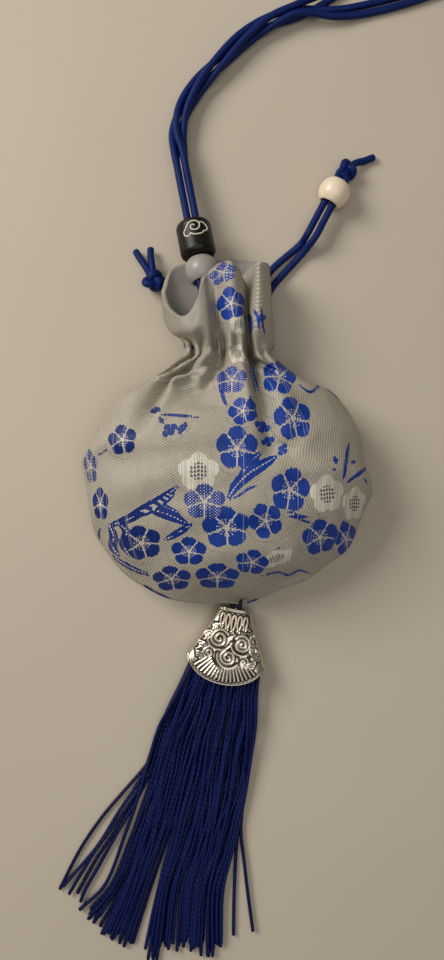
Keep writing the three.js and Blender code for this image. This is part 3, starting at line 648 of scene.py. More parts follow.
def wrinkled(surface, high, fine):
    """Small soft dents, as in any cloth that has been handled."""
    edge = np.abs(np.linspace(-1, 1, surface.shape[1]))
    keep = ease((1 - edge) / 0.08)
    dents = np.zeros(surface.shape[:2])
    for row in range(surface.shape[0]):
        for column in range(surface.shape[1]):
            place = Vector(surface[row, column])
            dents[row, column] = high * noise.noise(place / 9) + fine * noise.noise(place / 3.1)
    return surface + normals_of(surface) * (dents * keep[None])[:, :, None]


def cloth_uv(surface):
    """The cloth's own directions in millimetres: its weft across and its warp along."""
    def unrolled(side, middle):
        step = np.diff(surface, axis=1 - side)
        extra = np.sqrt(step[:, :, side] ** 2 + step[:, :, 2] ** 2) - np.abs(step[:, :, side])
        total = np.insert(np.cumsum(extra, axis=1 - side), 0, 0, axis=1 - side)
        return surface[:, :, side] + total - np.take(total, [middle], axis=1 - side)
    return unrolled(0, surface.shape[1] // 2), unrolled(1, body_rows // 2)


def cloth_piece(name, surface, outward, materials):
    """A sheet of cloth as a mesh, with the thickness of its weave and a thick turned rim."""
    rows, columns = surface.shape[:2]
    number = np.arange(rows * columns).reshape(rows, columns)
    corners = [number[:-1, :-1], number[:-1, 1:], number[1:, 1:], number[1:, :-1]]
    if not outward:
        corners.reverse()
    faces = np.stack(corners, axis=2).reshape(-1, 4)
    mesh = bpy.data.meshes.new(name)
    mesh.from_pydata((surface.reshape(-1, 3) * MM).tolist(), [], faces.tolist())
    u, v = cloth_uv(surface)
    flat = np.stack([u.ravel(), v.ravel()], axis=1)[faces.ravel()]
    mesh.uv_layers.new(name="UVMap").data.foreach_set("uv", flat.astype(np.float32).ravel())
    for material in materials:
        mesh.materials.append(material)
    mesh.shade_smooth()
    made = new_object(name, mesh)
    thick = made.vertex_groups.new(name="thick")
    for row in range(rows):
        frill = max(0, (row - body_rows - 8) / (rows - 9 - body_rows))
        weight = hidden_thickness + (frill_thickness - hidden_thickness) * min(1, frill * 2)
        if row > rows - 7:
            weight += (rim_thickness - frill_thickness) * ((row - rows + 7) / 6) ** 0.5
        thick.add(number[row].tolist(), weight / rim_thickness, "REPLACE")
    bpy.ops.object.select_all(action="DESELECT")
    bpy.context.view_layer.objects.active = made
    wall = made.modifiers.new("wall", "SOLIDIFY")
    wall.thickness = rim_thickness * MM
    wall.vertex_group = "thick"
    wall.offset = -1
    wall.material_offset = 1
    bpy.ops.object.modifier_apply(modifier="wall")
    made.vertex_groups.clear()
    return made


# Pattern of the cloth, placed in plan on the front surface: centre, half width, half height and
# turn of each plum blossom, the buds, and the strokes of the branches and leaves.
blue_blossoms = [
    (-26.4, 35.2, 3.9, 3.9, 10), (4.5, 42.3, 3.8, 3.5, 20), (3, 32.9, 5.3, 5.5, 0),
    (14.2, 51.9, 4.5, 5.3, -15), (17.3, 40.5, 4.8, 5.6, 12), (0.3, 12.8, 6.1, 5.3, 5),
    (10.3, 14.5, 4.3, 4.6, 25), (16.5, 22.3, 5.1, 5.6, -10), (-21.7, 8.4, 5.4, 4.7, 15),
    (-9.3, 6.5, 4.6, 3.8, 0), (-14.1, -1.4, 5.3, 3.7, 8), (-2, -0.5, 5.8, 3.9, 0),
    (7, 3.6, 4.4, 3.4, -12), (24.9, 9.9, 4.9, 4.9, 10), (32.5, 9, 3.5, 5.1, 15),
    (-32.8, 18.6, 2.4, 4.4, 0), (1.6, 71, 3.8, 4.4, 10),
]
speckled_blossoms = [
    (-0.5, 79.2, 3.6, 2.6, 10), (1.7, 50.8, 3.9, 3.9, 0), (-5.2, 19.3, 5.3, 4.5, 0),
    (-35.5, 28.4, 2.1, 4.5, 5),
]
white_blossoms = [
    (-6.7, 27, 5.3, 4.8, 0), (26.2, 21.3, 4.6, 4.9, 5), (34.2, 18.6, 3.7, 4.5, 0),
    (3.6, 65.6, 2.4, 2.6, 0), (3.4, 58, 2.2, 2.6, 0), (13.4, 4.6, 4.6, 2.2, 20),
]
buds = [
    (-17.9, 42.5, 1.2), (-13.7, 37.1, 1.7), (-10.9, 37.5, 1), (-16, 40.1, 0.8), (9.7, 39, 1.7),
    (10.8, 35.2, 1.4), (14.3, 32.8, 1.3), (28.1, 29.9, 0.8), (27.8, 27.6, 0.5), (33.5, 29.4, 0.6),
    (10, 67.3, 1), (-9.9, 38.5, 0.8),
]
strokes = [
    ([(12.8, 30.7), (9.3, 28.6), (5.8, 26.4), (2.7, 23.4), (1, 20.6)], 1.6),
    ([(9.3, 31.9), (6.3, 29.4), (3.7, 25.4)], 1.0),
    ([(1.2, 19.8), (3.7, 21.1), (5.8, 22.6), (8.3, 23.6)], 0.35),
    ([(-30.6, 12.8), (-25, 14.8), (-20.9, 17.2), (-16.5, 19.8), (-12.1, 23.1)], 1.3),
    ([(-21.7, 15.7), (-17, 18.5), (-12.9, 21.3)], 1.1),
    ([(-19.9, 17.7), (-15.7, 16.5), (-12.4, 15.2), (-9.9, 14)], 1.4),
    ([(-19.1, 19.8), (-15.2, 18), (-11.4, 16.5)], 0.7),
    ([(-15.4, 9.5), (-12, 11.4), (-8.4, 13.7)], 1.0),
    ([(-30.6, 12.8), (-29.6, 10.2), (-30, 6.8), (-28.4, 4.7)], 1.4),
    ([(-27.8, 13.5), (-25.6, 11.4), (-26.9, 8.1), (-25.5, 4.9)], 1.2),
    ([(-30.5, 4.3), (-27, 2.1), (-23.2, 0.3), (-20.2, -0.4)], 0.8),
    ([(-26.6, 2.8), (-24, 0.9), (-20.3, -1.1)], 0.4),
    ([(-22.6, -3.6), (-18.6, -6), (-14.4, -7.8)], 0.5),
    ([(-16.6, 41.4), (-13.5, 41.4), (-10.1, 41.1), (-6.7, 40.7)], 0.42),
    ([(14.8, 16.2), (19.1, 14.9), (22.3, 13.6), (25.9, 11.9)], 0.34),
    ([(14.9, 17.5), (18, 16.2), (21.7, 15.4)], 0.3),
    ([(9.7, -0.6), (13.9, 0.5), (17.3, -0.9), (19.8, 0.6), (23.7, -0.7)], 0.4),
    ([(32.5, 34.6), (31.5, 30.6), (30.5, 24.8)], 0.52),
    ([(19.1, 49.8), (22.2, 47.7), (26.3, 50.4), (30.6, 46.4)], 0.4),
    ([(23.3, 51.1), (26.6, 50), (30.4, 46.7)], 0.4),
    ([(5.4, -10.2), (7.1, -9.3), (9.1, -8.1)], 0.5),
    ([(-34.4, 41.3), (-34.2, 39.9), (-33.7, 38)], 0.4),
    ([(31.6, 24.2), (34.4, 26.2), (38.7, 28.6)], 0.5),
    ([(-33.6, 31.2), (-31.6, 32.2), (-30.4, 33.2)], 0.3),
    ([(9.5, 70.5), (9.9, 66), (10.6, 63.5)], 0.35),
    ([(6.6, 57), (7.6, 52), (8.6, 47.5)], 0.7),
    ([(-1.6, 50), (-0.6, 46.5), (0.4, 43.6)], 0.5),
    ([(6.2, 69.4), (7, 66.8), (7, 63.8)], 0.45),
    ([(7.4, 69.8), (8.6, 67.4), (9, 64.4)], 0.4),
    ([(6.2, 46.2), (7.3, 43), (8.2, 40.6)], 0.4),
    ([(-34.2, 8.2), (-34, 10.6), (-33.4, 12.6)], 0.4),
    ([(-33.2, 4.2), (-30.6, 1), (-27.4, -1.4)], 0.35),
    ([(12.6, 6.4), (14.4, 7.6), (16.4, 6.8), (15.8, 5.2), (13.6, 5)], 0.22),
    ([(20.4, 13), (22, 11.6), (24.2, 11.8)], 0.24),
    ([(36.4, 25.4), (37.6, 24)], 0.3),
]


BLUE, SPECKLED, WHITE, BUD = 0, 1, 2, 3


def motif_sets(surface, motifs):
    """Every motif's own flat coordinates at each place, with its outline at a radius of 1, and
    its kind, as seen from above or below. Motifs that nearly touch go into different sets."""
    sets = []
    for kind, x, y, half_width, half_height, turn in motifs:
        angle = math.radians(turn)
        across, along = surface[:, :, 0] - x, surface[:, :, 1] - y
        own_x = (across * math.cos(angle) + along * math.sin(angle)) / half_width
        own_y = (along * math.cos(angle) - across * math.sin(angle)) / half_height
        inside = (np.hypot(own_x, own_y) < 1.3)[:, :, None]
        reach = 1.3 * max(half_width, half_height)
        for chosen in sets:
            if all(math.hypot(x - other_x, y - other_y) > reach + other_reach + 0.6
                   for other_x, other_y, other_reach in chosen["places"]):
                break
        else:
            chosen = {"places": [], "values": np.full((*surface.shape[:2], 3), 9.0)}
            sets.append(chosen)
        chosen["places"].append((x, y, reach))
        own = np.dstack([own_x, own_y, np.full(surface.shape[:2], kind)])
        chosen["values"] = np.where(inside, own, chosen["values"])
    return [chosen["values"] for chosen in sets]


def stored(shader, name, output="Vector"):
    """An attribute of the piece's mesh."""
    return node(shader.id_data, "ShaderNodeAttribute", attribute_name=name).outputs[output]


def from_to(value, low, high, least=0):
    """A share that runs from least at the low value to 1 at the high one."""
    return node(value.id_data, "ShaderNodeMapRange", {0: value, 1: low, 2: high, 3: least}).outputs[0]


def is_kind(kind, wanted):
    return sums("COMPARE", kind, wanted, 0.3)


def blossom_shape(motif, ragged):
    """Five round petals, or a bud's three: their mask, the stamens, the radius and the kind."""
    x, y, kind = parts(motif)
    y = plus(y, times_plus(ragged, 0.09, -0.045))
    radius = sums("SQRT", plus(times(x, x), times(y, y)))
    angle = sums("ARCTAN2", x, y)
    fifth = 2 * math.pi / 5
    turn = minus(sums("FLOORED_MODULO", plus(angle, fifth / 2), fifth), fifth / 2)
    far = sums("DIVIDE", times_plus(radius, cosine(turn), -0.57), 0.45)
    wide = sums("DIVIDE", times(radius, sine(turn)), 0.46)
    rim = plus(times(far, far), times(wide, wide))
    gap = times(radius, sine(minus(fifth / 2, sums("ABSOLUTE", turn))))
    petal = times(less_than(rim, 1), more_than(gap, 0.035))
    bud = is_kind(kind, BUD)
    blossom = minus(1, bud)
    opening = larger(times(petal, more_than(y, -0.2)), less_than(radius, 0.45))
    petal = plus(times(petal, blossom), times(opening, bud))
    rays = more_than(cosine(times(angle, 15)), 0.35)
    dashes = more_than(sine(times(radius, 52)), -0.3)
    ring = times(more_than(radius, 0.1), less_than(radius, 0.42))
    stamens = times(times(rays, dashes), times(ring, blossom))
    rows = times(cosine(times(x, 19)), cosine(times(y, 15)))
    seeds = times(more_than(sums("ABSOLUTE", rows), 0.4), less_than(radius, 0.46))
    white = is_kind(kind, WHITE)
    stamens = plus(times(stamens, minus(1, white)), times(seeds, white))
    petal = larger(petal, times(white, less_than(radius, 0.8)))
    return petal, stamens, radius, kind


def woven(name, set_count, with_strokes, base, shade):
    """Brocade with its twill ground and its pattern in floats of blue and cream silk."""
    material, shader = new_material(name, Roughness=0.5, Specular_IOR_Level=0.35)
    uv = flat_places(shader)
    weft, warp, _ = parts(uv)

    # Twill lines: rising to the right over most of the cloth, and steeper on its right side.
    def lines(angle, pitch):
        slope = math.radians(angle)
        across = plus(times(weft, -math.sin(slope)), times(warp, math.cos(slope)))
        return sine(times(across, 2 * math.pi / pitch))
    right_side = from_to(weft, 9, 15)
    twill = plus(times(lines(32, 0.62), minus(1, right_side)), times(lines(68, 0.7), right_side))
    plain, ribbed, _ = parts(stored(shader, "ground"))
    woven_share = minus(minus(1, plain), ribbed)
    twill = plus(times(twill, woven_share), times(lines(36, 1.1), ribbed))
    stretched = node(shader.id_data, "ShaderNodeMapping", {"Vector": uv, "Scale": (0.5, 2.6, 1)})
    slub = speckle(stretched.outputs[0], 1.3, 3)
    cloud = speckle(uv, 0.16, 2)
    light = times_plus(twill, 0.34, times_plus(slub, 0.9, 0.08))
    ground = between(light, shade, base)
    ground = between(times(cloud, 0.3), ground, paint(160, 155, 148))
    # The plain satin on the frill's left side is a real plain weave, and its darker colour is partly painted
    # shade.
    satin_and_painted_shade = between(slub, paint(136, 130, 122), paint(168, 161, 150))
    ground = between(plain, ground, satin_and_painted_shade)

    # Silk floats, with ragged ends thread by thread.
    thread = sums("FLOOR", sums("DIVIDE", weft, 0.3))
    ragged = node(shader.id_data, "ShaderNodeTexWhiteNoise", {1: thread}, noise_dimensions="1D")
    ragged = ragged.outputs["Value"]
    stitch = sine(times(weft, 2 * math.pi / 0.42))
    # Each stitch is painted lighter along its crest and darker at its sides, as painted light and shade, over
    # a tone that differs thread by thread.
    silk = times_plus(stitch, 0.22, times_plus(ragged, 0.5, 0.25))
    # The blue floats are painted darker towards the left of the cloth, as painted shade.
    silk_with_painted_shade = from_to(weft, -22, 2, -0.25)
    silk_with_painted_shade = times_plus(silk, 0.7, times(silk_with_painted_shade, 0.4))
    blue = between(silk_with_painted_shade, paint(0, 22, 76), paint(4, 62, 166))
    cream = between(silk, paint(166, 158, 142), paint(240, 236, 224))
    stray = more_than(ragged, 0.94)
    blue = between(times(stray, 0.2), blue, cream)
    dots = times(sine(times(weft, 6.9)), sine(times(warp, 8.3)))
    dotted = more_than(times_plus(ragged, 0.5, dots), 0.86)

    pattern, raised = ground, 0
    if with_strokes:
        beyond_edge, along, from_middle = parts(stored(shader, "stroke"))
        edge = times_plus(ragged, 0.2, minus(beyond_edge, 0.1))
        raised = less_than(edge, 0)
        line = less_than(from_middle, 0.2)
        dash = more_than(sine(times(along, 7)), -0.5)
        branch = between(times(line, dash), blue, cream)
        pattern = between(raised, pattern, branch)
    for count in range(set_count):
        motif = stored(shader, f"motifs_{count + 1}")
        petal, stamens, radius, kind = blossom_shape(motif, ragged)
        white = is_kind(kind, WHITE)
        speckled = times(is_kind(kind, SPECKLED), dotted)
        petal_colour = between(larger(white, speckled), blue, cream)
        behind = times(less_than(radius, 0.82), less_than(kind, 2.5))
        pattern = between(times(behind, 0.8), pattern, cream)
        pattern = between(petal, pattern, petal_colour)
        heart = between(white, cream, paint(16, 22, 50))
        pattern = between(times(stamens, 0.9), pattern, heart)
        raised = larger(raised, petal)
    feed(shader, "Base Color", pattern)
    float_height = times(raised, times_plus(stitch, 0.3, 1.6))
    ground_height = times(twill, times_plus(raised, -0.4, 0.5))
    relief(shader, plus(float_height, ground_height), 0.06 * MM, 0.8)
    return material


def mark(piece, name, values, beyond=(9, 9, 9)):
    """Stores a vector for each place of the outer face, and one for all of the inner face."""
    values = values.reshape(-1, 3)
    full = np.tile(np.array(beyond, float), (len(piece.data.vertices), 1))
    full[: len(values)] = values
    layer = piece.data.attributes.new(name, "FLOAT_VECTOR", "POINT")
    layer.data.foreach_set("vector", full.astype(np.float32).ravel())


def stroke_places(surface, lines):
    """How far each place is from the nearest stroke's edge, along it, and from its middle."""
    best = np.full(surface.shape[:2], 1e3)
    along = np.zeros(surface.shape[:2])
    middle = np.full(surface.shape[:2], 1e3)
    for points, half_width in lines:
        fine = spread(points, np.linspace(0, 1, 4 * len(points)))
        away, share = line_distance(surface, fine)
        long = lengths_along(fine)[-1]
        tapered = half_width * np.sin(np.pi * np.clip(share, 0.02, 0.98)) ** 0.4
        closer = away - tapered < best
        best = np.where(closer, away - tapered, best)
        along = np.where(closer, share * long, along)
        middle = np.where(closer, away if half_width > 0.6 else 1, middle)
    return np.stack([best, along, middle], axis=2)


front_surface = with_neck(body_surface(front_columns, True),
                          [casing_low, casing_high, frill_middle, frill_rim])
front_surface = wrinkled(folded(front_surface), 0.35, 0.12)
back_surface = with_neck(body_surface(back_columns, False),
                         [back_casing_low, back_casing_high, back_middle, back_rim])
back_surface[:, :, 2] = np.maximum(back_surface[:, :, 2], table_gap)

front_motifs = motif_sets(front_surface, [
    *((WHITE, *motif) for motif in white_blossoms),
    *((BLUE, *motif) for motif in blue_blossoms),
    *((SPECKLED, *motif) for motif in speckled_blossoms),
    *((BUD, x, y, size * 1.3, size * 1.3, 40 * number) for number, (x, y, size) in enumerate(buds)),
])
back_motifs = motif_sets(back_surface, [
    *((BLUE, *motif) for motif in [
        (-24, 30, 5, 5, 10), (-12, 42, 4.4, 4.6, 40), (8, 36, 5.4, 5.2, 0), (22, 26, 4.6, 5, 25),
        (-18, 12, 5, 5, 15), (2, 8, 5.2, 5, 30), (20, 8, 4.6, 4.8, 5), (0, 74, 4, 4, 0)]),
    *((WHITE, *motif) for motif in [(-4, 24, 5, 4.8, 0), (14, 46, 4.2, 4, 0), (-28, 20, 3.6, 4, 0)]),
])
brocade = woven("brocade", len(front_motifs), True, paint(194, 187, 171), paint(136, 128, 115))
brocade_back = woven("brocade_back", len(back_motifs), False, paint(194, 187, 171), paint(136, 128, 115))

cloth_inside, shader = new_material("cloth_inside", Roughness=0.5, Sheen_Weight=0.3)
weft, warp, _ = parts(flat_places(shader))
across = minus(warp, times(weft, 0.62))
twill = sine(times(across, 2 * math.pi / 0.6))
feed(shader, "Base Color", between(times_plus(twill, 0.4, 0.5), paint(138, 134, 130), paint(166, 161, 154)))
relief(shader, twill, 0.03 * MM, 0.6)

front_cloth = cloth_piece("front_cloth", front_surface, True, [brocade, cloth_inside])
back_cloth = cloth_piece("back_cloth", back_surface, False, [brocade_back, cloth_inside])
mark(front_cloth, "stroke", stroke_places(front_surface, strokes))
front_x, front_y = front_surface[:, :, 0], front_surface[:, :, 1]
# The left of the frill is plain satin, coloured darker there: partly painted shade.
satin_side = ease((front_y - 61) / 3) * ease((-2 - front_x) / 1.6)
ribbed_side = ease((front_y - 62) / 3) * ease((front_x - 5.6) / 1.2)
mark(front_cloth, "ground", np.dstack([satin_side, ribbed_side, 0 * front_x]), (1, 0, 0))
mark(back_cloth, "ground", 0 * back_surface, (1, 0, 0))
for piece, motifs in ((front_cloth, front_motifs), (back_cloth, back_motifs)):
    for count, values in enumerate(motifs):
        mark(piece, f"motifs_{count + 1}", values)
for piece, panel in ((front_cloth, "front_panel"), (back_cloth, "back_panel")):
    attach(piece, "pouch")
    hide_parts(panel)


# Round grey bead
# A turned ball of pale grey stone with a wide bore, pushed down the four strands until it sits
# in the mouth of the frill.

bead_bore = 2.955
bore_rounding = 0.3
round_ball_radius = 4.6
ball_sides = 96
ball_rings = 48


def choose(kind, test):
    """In edit mode, selects the corners, edges or faces whose middle passes a test."""
    bpy.ops.mesh.select_mode(type={"verts": "VERT", "edges": "EDGE", "faces": "FACE"}[kind])
    bpy.ops.mesh.select_all(action="DESELECT")
    shape = bmesh.from_edit_mesh(bpy.context.object.data)
    for element in getattr(shape, kind):
        corners = [element] if kind == "verts" else element.verts
        middle = sum((corner.co for corner in corners), Vector()) / len(corners) / MM
        if test(middle):
            element.select_set(True)
    if kind == "verts":
        shape.select_flush(True)
    bmesh.update_edit_mesh(bpy.context.object.data)


def from_axis(at):
    return math.hypot(at.x, at.y)


def round_edges(width, steps):
    bpy.ops.mesh.bevel(offset=width * MM, offset_type="OFFSET", segments=steps, affect="EDGES")


def leave_editing():
    """Turns every face outward, and goes back to object mode."""
    bpy.ops.mesh.select_all(action="SELECT")
    bpy.ops.mesh.normals_make_consistent(inside=False)
    bpy.ops.object.mode_set(mode="OBJECT")


def turned_ball(name, radius, bore):
    """A ball bored along Z: the poles cut away, the two rims bridged, and the rims rounded."""
    bpy.ops.object.select_all(action="DESELECT")
    bpy.ops.mesh.primitive_uv_sphere_add(segments=ball_sides, ring_count=ball_rings, radius=radius * MM)
    ball = bpy.context.object
    ball.name = ball.data.name = name
    steps = [radius * math.sin(math.pi * ring / ball_rings) for ring in range(ball_rings // 2)]
    rim = min(step for step in steps if step > bore)
    bpy.ops.object.mode_set(mode="EDIT")
    choose("verts", lambda at: from_axis(at) < rim - 0.01)
    bpy.ops.mesh.delete(type="VERT")
    choose("verts", lambda at: from_axis(at) < rim + 0.01)
    bpy.ops.transform.resize(value=(bore / rim, bore / rim, 1), center_override=(0, 0, 0))
    bpy.ops.mesh.bridge_edge_loops(number_cuts=5)
    top = math.sqrt(radius**2 - rim**2)
    choose("edges", lambda at: from_axis(at) < bore + 0.01 and abs(abs(at.z) - top) < 0.01)
    round_edges(bore_rounding, 4)
    leave_editing()
    bpy.ops.object.shade_smooth()
    return ball


def place_bead(bead, direction, centre):
    """Turns a bead from Z to its line, and puts the place into its mesh."""
    bead.rotation_mode = "QUATERNION"
    bead.rotation_quaternion = Vector((0, 0, 1)).rotation_difference(Vector(direction))
    bead.location = Vector(centre) * MM
    bpy.ops.object.transform_apply(location=True, rotation=True, scale=True)


bead_grey, shader = new_material("bead_grey", Roughness=0.33)
place = places_on(shader)
cloudy = speckle(place, 240, 4, 0.6)
grain = speckle(place, 2600, 2)
tone = between(cloudy, paint(146, 142, 138), paint(172, 167, 161))
feed(shader, "Base Color", between(times(grain, 0.25), tone, paint(128, 124, 120)))
feed(shader, "Roughness", times_plus(grain, 0.16, 0.27))
relief(shader, grain, 0.01 * MM, 0.4)

round_ball = turned_ball("round_ball", round_ball_radius, bead_bore)
round_ball.data.materials.append(bead_grey)
place_bead(round_ball, bead_line, bead_line_start)
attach(round_ball, "round")
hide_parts("round_bead")


# Black barrel bead with its cloud
# A turned barrel of black lacquered wood above the round bead. A cloud with one curl is drawn
# on its front in a raised line of pale lacquer.

barrel_radius = 4.85
barrel_length = 10.5
barrel_rounding = 1.8
barrel_foot = 3.65
barrel_middle = bead_line_start + bead_line * (barrel_foot + barrel_length / 2)
cloud_line_radius = 0.21
cloud_aside, cloud_up = 0.5, -0.9
cloud_lines = [
    [(3.5, 2.1), (3.0, 1.45), (2.2, 1.2), (1.5, 0.6), (0.3, 0.35), (-0.9, 0.5), (-1.6, 0.95), (-2.1, 0.5),
     (-2.9, 0.45), (-3.5, 1.05), (-3.45, 1.95), (-2.85, 2.6), (-2.3, 3.35), (-1.6, 4.0), (-0.6, 4.3),
     (0.5, 4.1), (1.15, 3.4), (1.05, 2.5), (0.45, 1.85), (-0.4, 1.7), (-1.2, 2.1), (-1.3, 2.9),
     (-0.75, 3.3), (-0.25, 3.0)],
    [(1.3, 3.75), (2.1, 3.75), (2.9, 3.2), (3.4, 2.5), (3.5, 2.1)],
]

bpy.ops.object.select_all(action="DESELECT")
bpy.ops.mesh.primitive_cylinder_add(vertices=128, radius=barrel_radius * MM, depth=barrel_length * MM)
barrel = bpy.context.object
barrel.name = barrel.data.name = "barrel"
bpy.ops.object.mode_set(mode="EDIT")
choose("faces", lambda at: from_axis(at) < 1)
bpy.ops.mesh.inset(thickness=(barrel_radius - bead_bore) * MM, depth=0)
bpy.ops.mesh.bridge_edge_loops(number_cuts=6)
choose("edges", lambda at: abs(at.z) > barrel_length / 2 - 0.01 and from_axis(at) > barrel_radius - 0.02)
round_edges(barrel_rounding, 10)
choose("edges", lambda at: abs(at.z) > barrel_length / 2 - 0.01 and from_axis(at) < bead_bore + 0.02)
round_edges(bore_rounding, 4)
leave_editing()
bpy.ops.object.shade_smooth_by_angle(angle=math.radians(40))

lacquer, shader = new_material("lacquer", Specular_IOR_Level=0.35)
place = places_on(shader)
dust = speckle(place, 900, 4)
feed(shader, "Base Color", between(from_to(dust, 0.45, 0.85), paint(9, 8, 7), paint(38, 34, 29)))
feed(shader, "Roughness", times_plus(dust, 0.22, 0.3))
relief(shader, dust, 0.012 * MM, 0.4)
barrel.data.materials.append(lacquer)
place_bead(barrel, bead_line, barrel_middle)

pale_lacquer, shader = new_material("pale_lacquer", Roughness=0.4)
place = places_on(shader)
brushed = speckle(place, 1500, 3)
feed(shader, "Base Color", between(brushed, paint(188, 180, 160), paint(240, 235, 219)))
relief(shader, brushed, 0.02 * MM, 0.6)


def round_barrel(points):
    """A line drawn flat in millimetres, laid round the barrel's side with its front upward."""
    flat = smooth_line([(x + cloud_aside, y + cloud_up, 0) for x, y in points], 0.16)
    angle = flat[:, 0] / barrel_radius
    side, high = line_frame(bead_line)
    out = np.sin(angle)[:, None] * side + np.cos(angle)[:, None] * high
    return barrel_middle + bead_line * flat[:, 1:2] + out * (barrel_radius - 0.05)


laid_lines = [round_barrel(points) for points in cloud_lines]
cloud = add_tubes("barrel_cloud", laid_lines, [cloud_line_radius] * len(laid_lines), 10, pale_lacquer)
for piece in (barrel, cloud):
    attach(piece, "barrel")
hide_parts("barrel_bead")


# Ivory pull bead
# A ball of polished bone-white resin that slides on the two long ends at the right, before
# their knot, and pulls that drawcord tight.

pull_ball_radius = 4.4
pull_bore = 2.47

bead_ivory, shader = new_material("bead_ivory", Roughness=0.3, Subsurface_Weight=0.12, Subsurface_Scale=0.3,
                                  Subsurface_Radius=(0.004, 0.0025, 0.0015))
place = places_on(shader)
inputs = {"Vector": place, "Rotation": (0, 0, math.radians(62)), "Scale": (4, 1, 1)}
turned = node(shader.id_data, "ShaderNodeMapping", inputs, vector_type="TEXTURE")
grain = speckle(turned.outputs[0], 900, 5)
patch = speckle(place, 210, 2)
tone = between(grain, paint(232, 214, 190), paint(248, 236, 216))
feed(shader, "Base Color", between(times(patch, 0.4), tone, paint(222, 198, 164)))
feed(shader, "Roughness", times_plus(grain, 0.2, 0.2))
relief(shader, grain, 0.008 * MM, 0.4)

pull_ball = turned_ball("pull_ball", pull_ball_radius, pull_bore)
pull_ball.data.materials.append(bead_ivory)
place_bead(pull_ball, pull_line, pull_line_start)
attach(pull_ball, "pull")
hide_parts("pull_bead")


# Tassel loop and binding
# A loop of twisted blue thread that passes the bottom seam and the cap, is knotted inside the
# bag, and carries the folded head of the skein, which is wrapped with the same thread.

tassel_pivot = np.array([3.527, -8.882, 4.6])
tassel_turn = math.radians(-11)
cap_middle = -0.6
loop_radius = 0.7
binding_radius = 0.36
binding_rounds = 4.5
binding_wide, binding_thick = 6.1, 1.95
binding_top, binding_foot = -8.9, -11.9


def from_tassel(points):
    """Places in the tassel's own frame, which hangs along -Y, to the pouch's frame."""
    points = np.asarray(points, float)
    turned = points.copy()
    turned[..., 0] = points[..., 0] * math.cos(tassel_turn) - points[..., 1] * math.sin(tassel_turn)
    turned[..., 1] = points[..., 0] * math.sin(tassel_turn) + points[..., 1] * math.cos(tassel_turn)
    return turned + tassel_pivot


def rounded_box(turns, wide, thick):
    """Places round an oval that is nearly a rounded rectangle."""
    power = 2 / 3.2
    x = wide * np.sign(np.cos(turns)) * np.abs(np.cos(turns)) ** power
    z = thick * np.sign(np.sin(turns)) * np.abs(np.sin(turns)) ** power
    return x, z


tassel_blue, shader = new_material("tassel_blue", Roughness=0.42, Specular_IOR_Level=0.25)
around, along, _ = parts(flat_places(shader))
twist = plus(times(around, 4 * math.pi), times(along, 2 * math.pi / 1.5))
ply = times_plus(sine(twist), 0.5, 0.5)
strand = stored(shader, "strand", "Fac")
# The thread is painted darker in the grooves of its twist and lighter on the plies, as painted shade and
# light; the strand attribute adds a tone that differs from thread to thread.
tone = between(ply, paint(0, 3, 30), paint(3, 16, 72))
feed(shader, "Base Color", between(times(strand, 0.5), tone, paint(5, 26, 96)))
relief(shader, ply, 0.08 * MM, 0.8)

legs = [(0.76, 2.4, -0.4), (0.81, 0, -0.8), (0.9, -1.6, -0.6), (1.015, -3, -0.3), (1.32, -5.4, -0.6),
        (0.81, -7.1, -0.6)]
loop_points = [(-x, y, z) for x, y, z in legs] + legs[::-1]
loop_line = smooth_line(from_tassel(loop_points), 0.35)
tassel_loop = add_tubes("loop", [loop_line], [loop_radius], 12, tassel_blue)
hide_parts("tassel_loop")
loop_knot = tied_knot("loop_knot", from_tassel((0, 3.1, 0)), 3.3, 10, 0.55)
loop_knot.data.materials[0] = tassel_blue

wraps = np.linspace(0, binding_rounds * 2 * math.pi, 260)
wrap_x, wrap_z = rounded_box(wraps, binding_wide, binding_thick)
wrap_y = np.linspace(binding_top, binding_foot, len(wraps))
wrap_line = np.column_stack([wrap_x, wrap_y, wrap_z + cap_middle])
binding = add_tubes("binding", [from_tassel(wrap_line)], [binding_radius], 8, tassel_blue)
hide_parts("tassel_binding")


# Tassel threads
# Silky two-ply thread, laid over the loop, bound, and cut at the foot. It fans out over the
# table, its ends uneven, with a few threads astray at both sides.

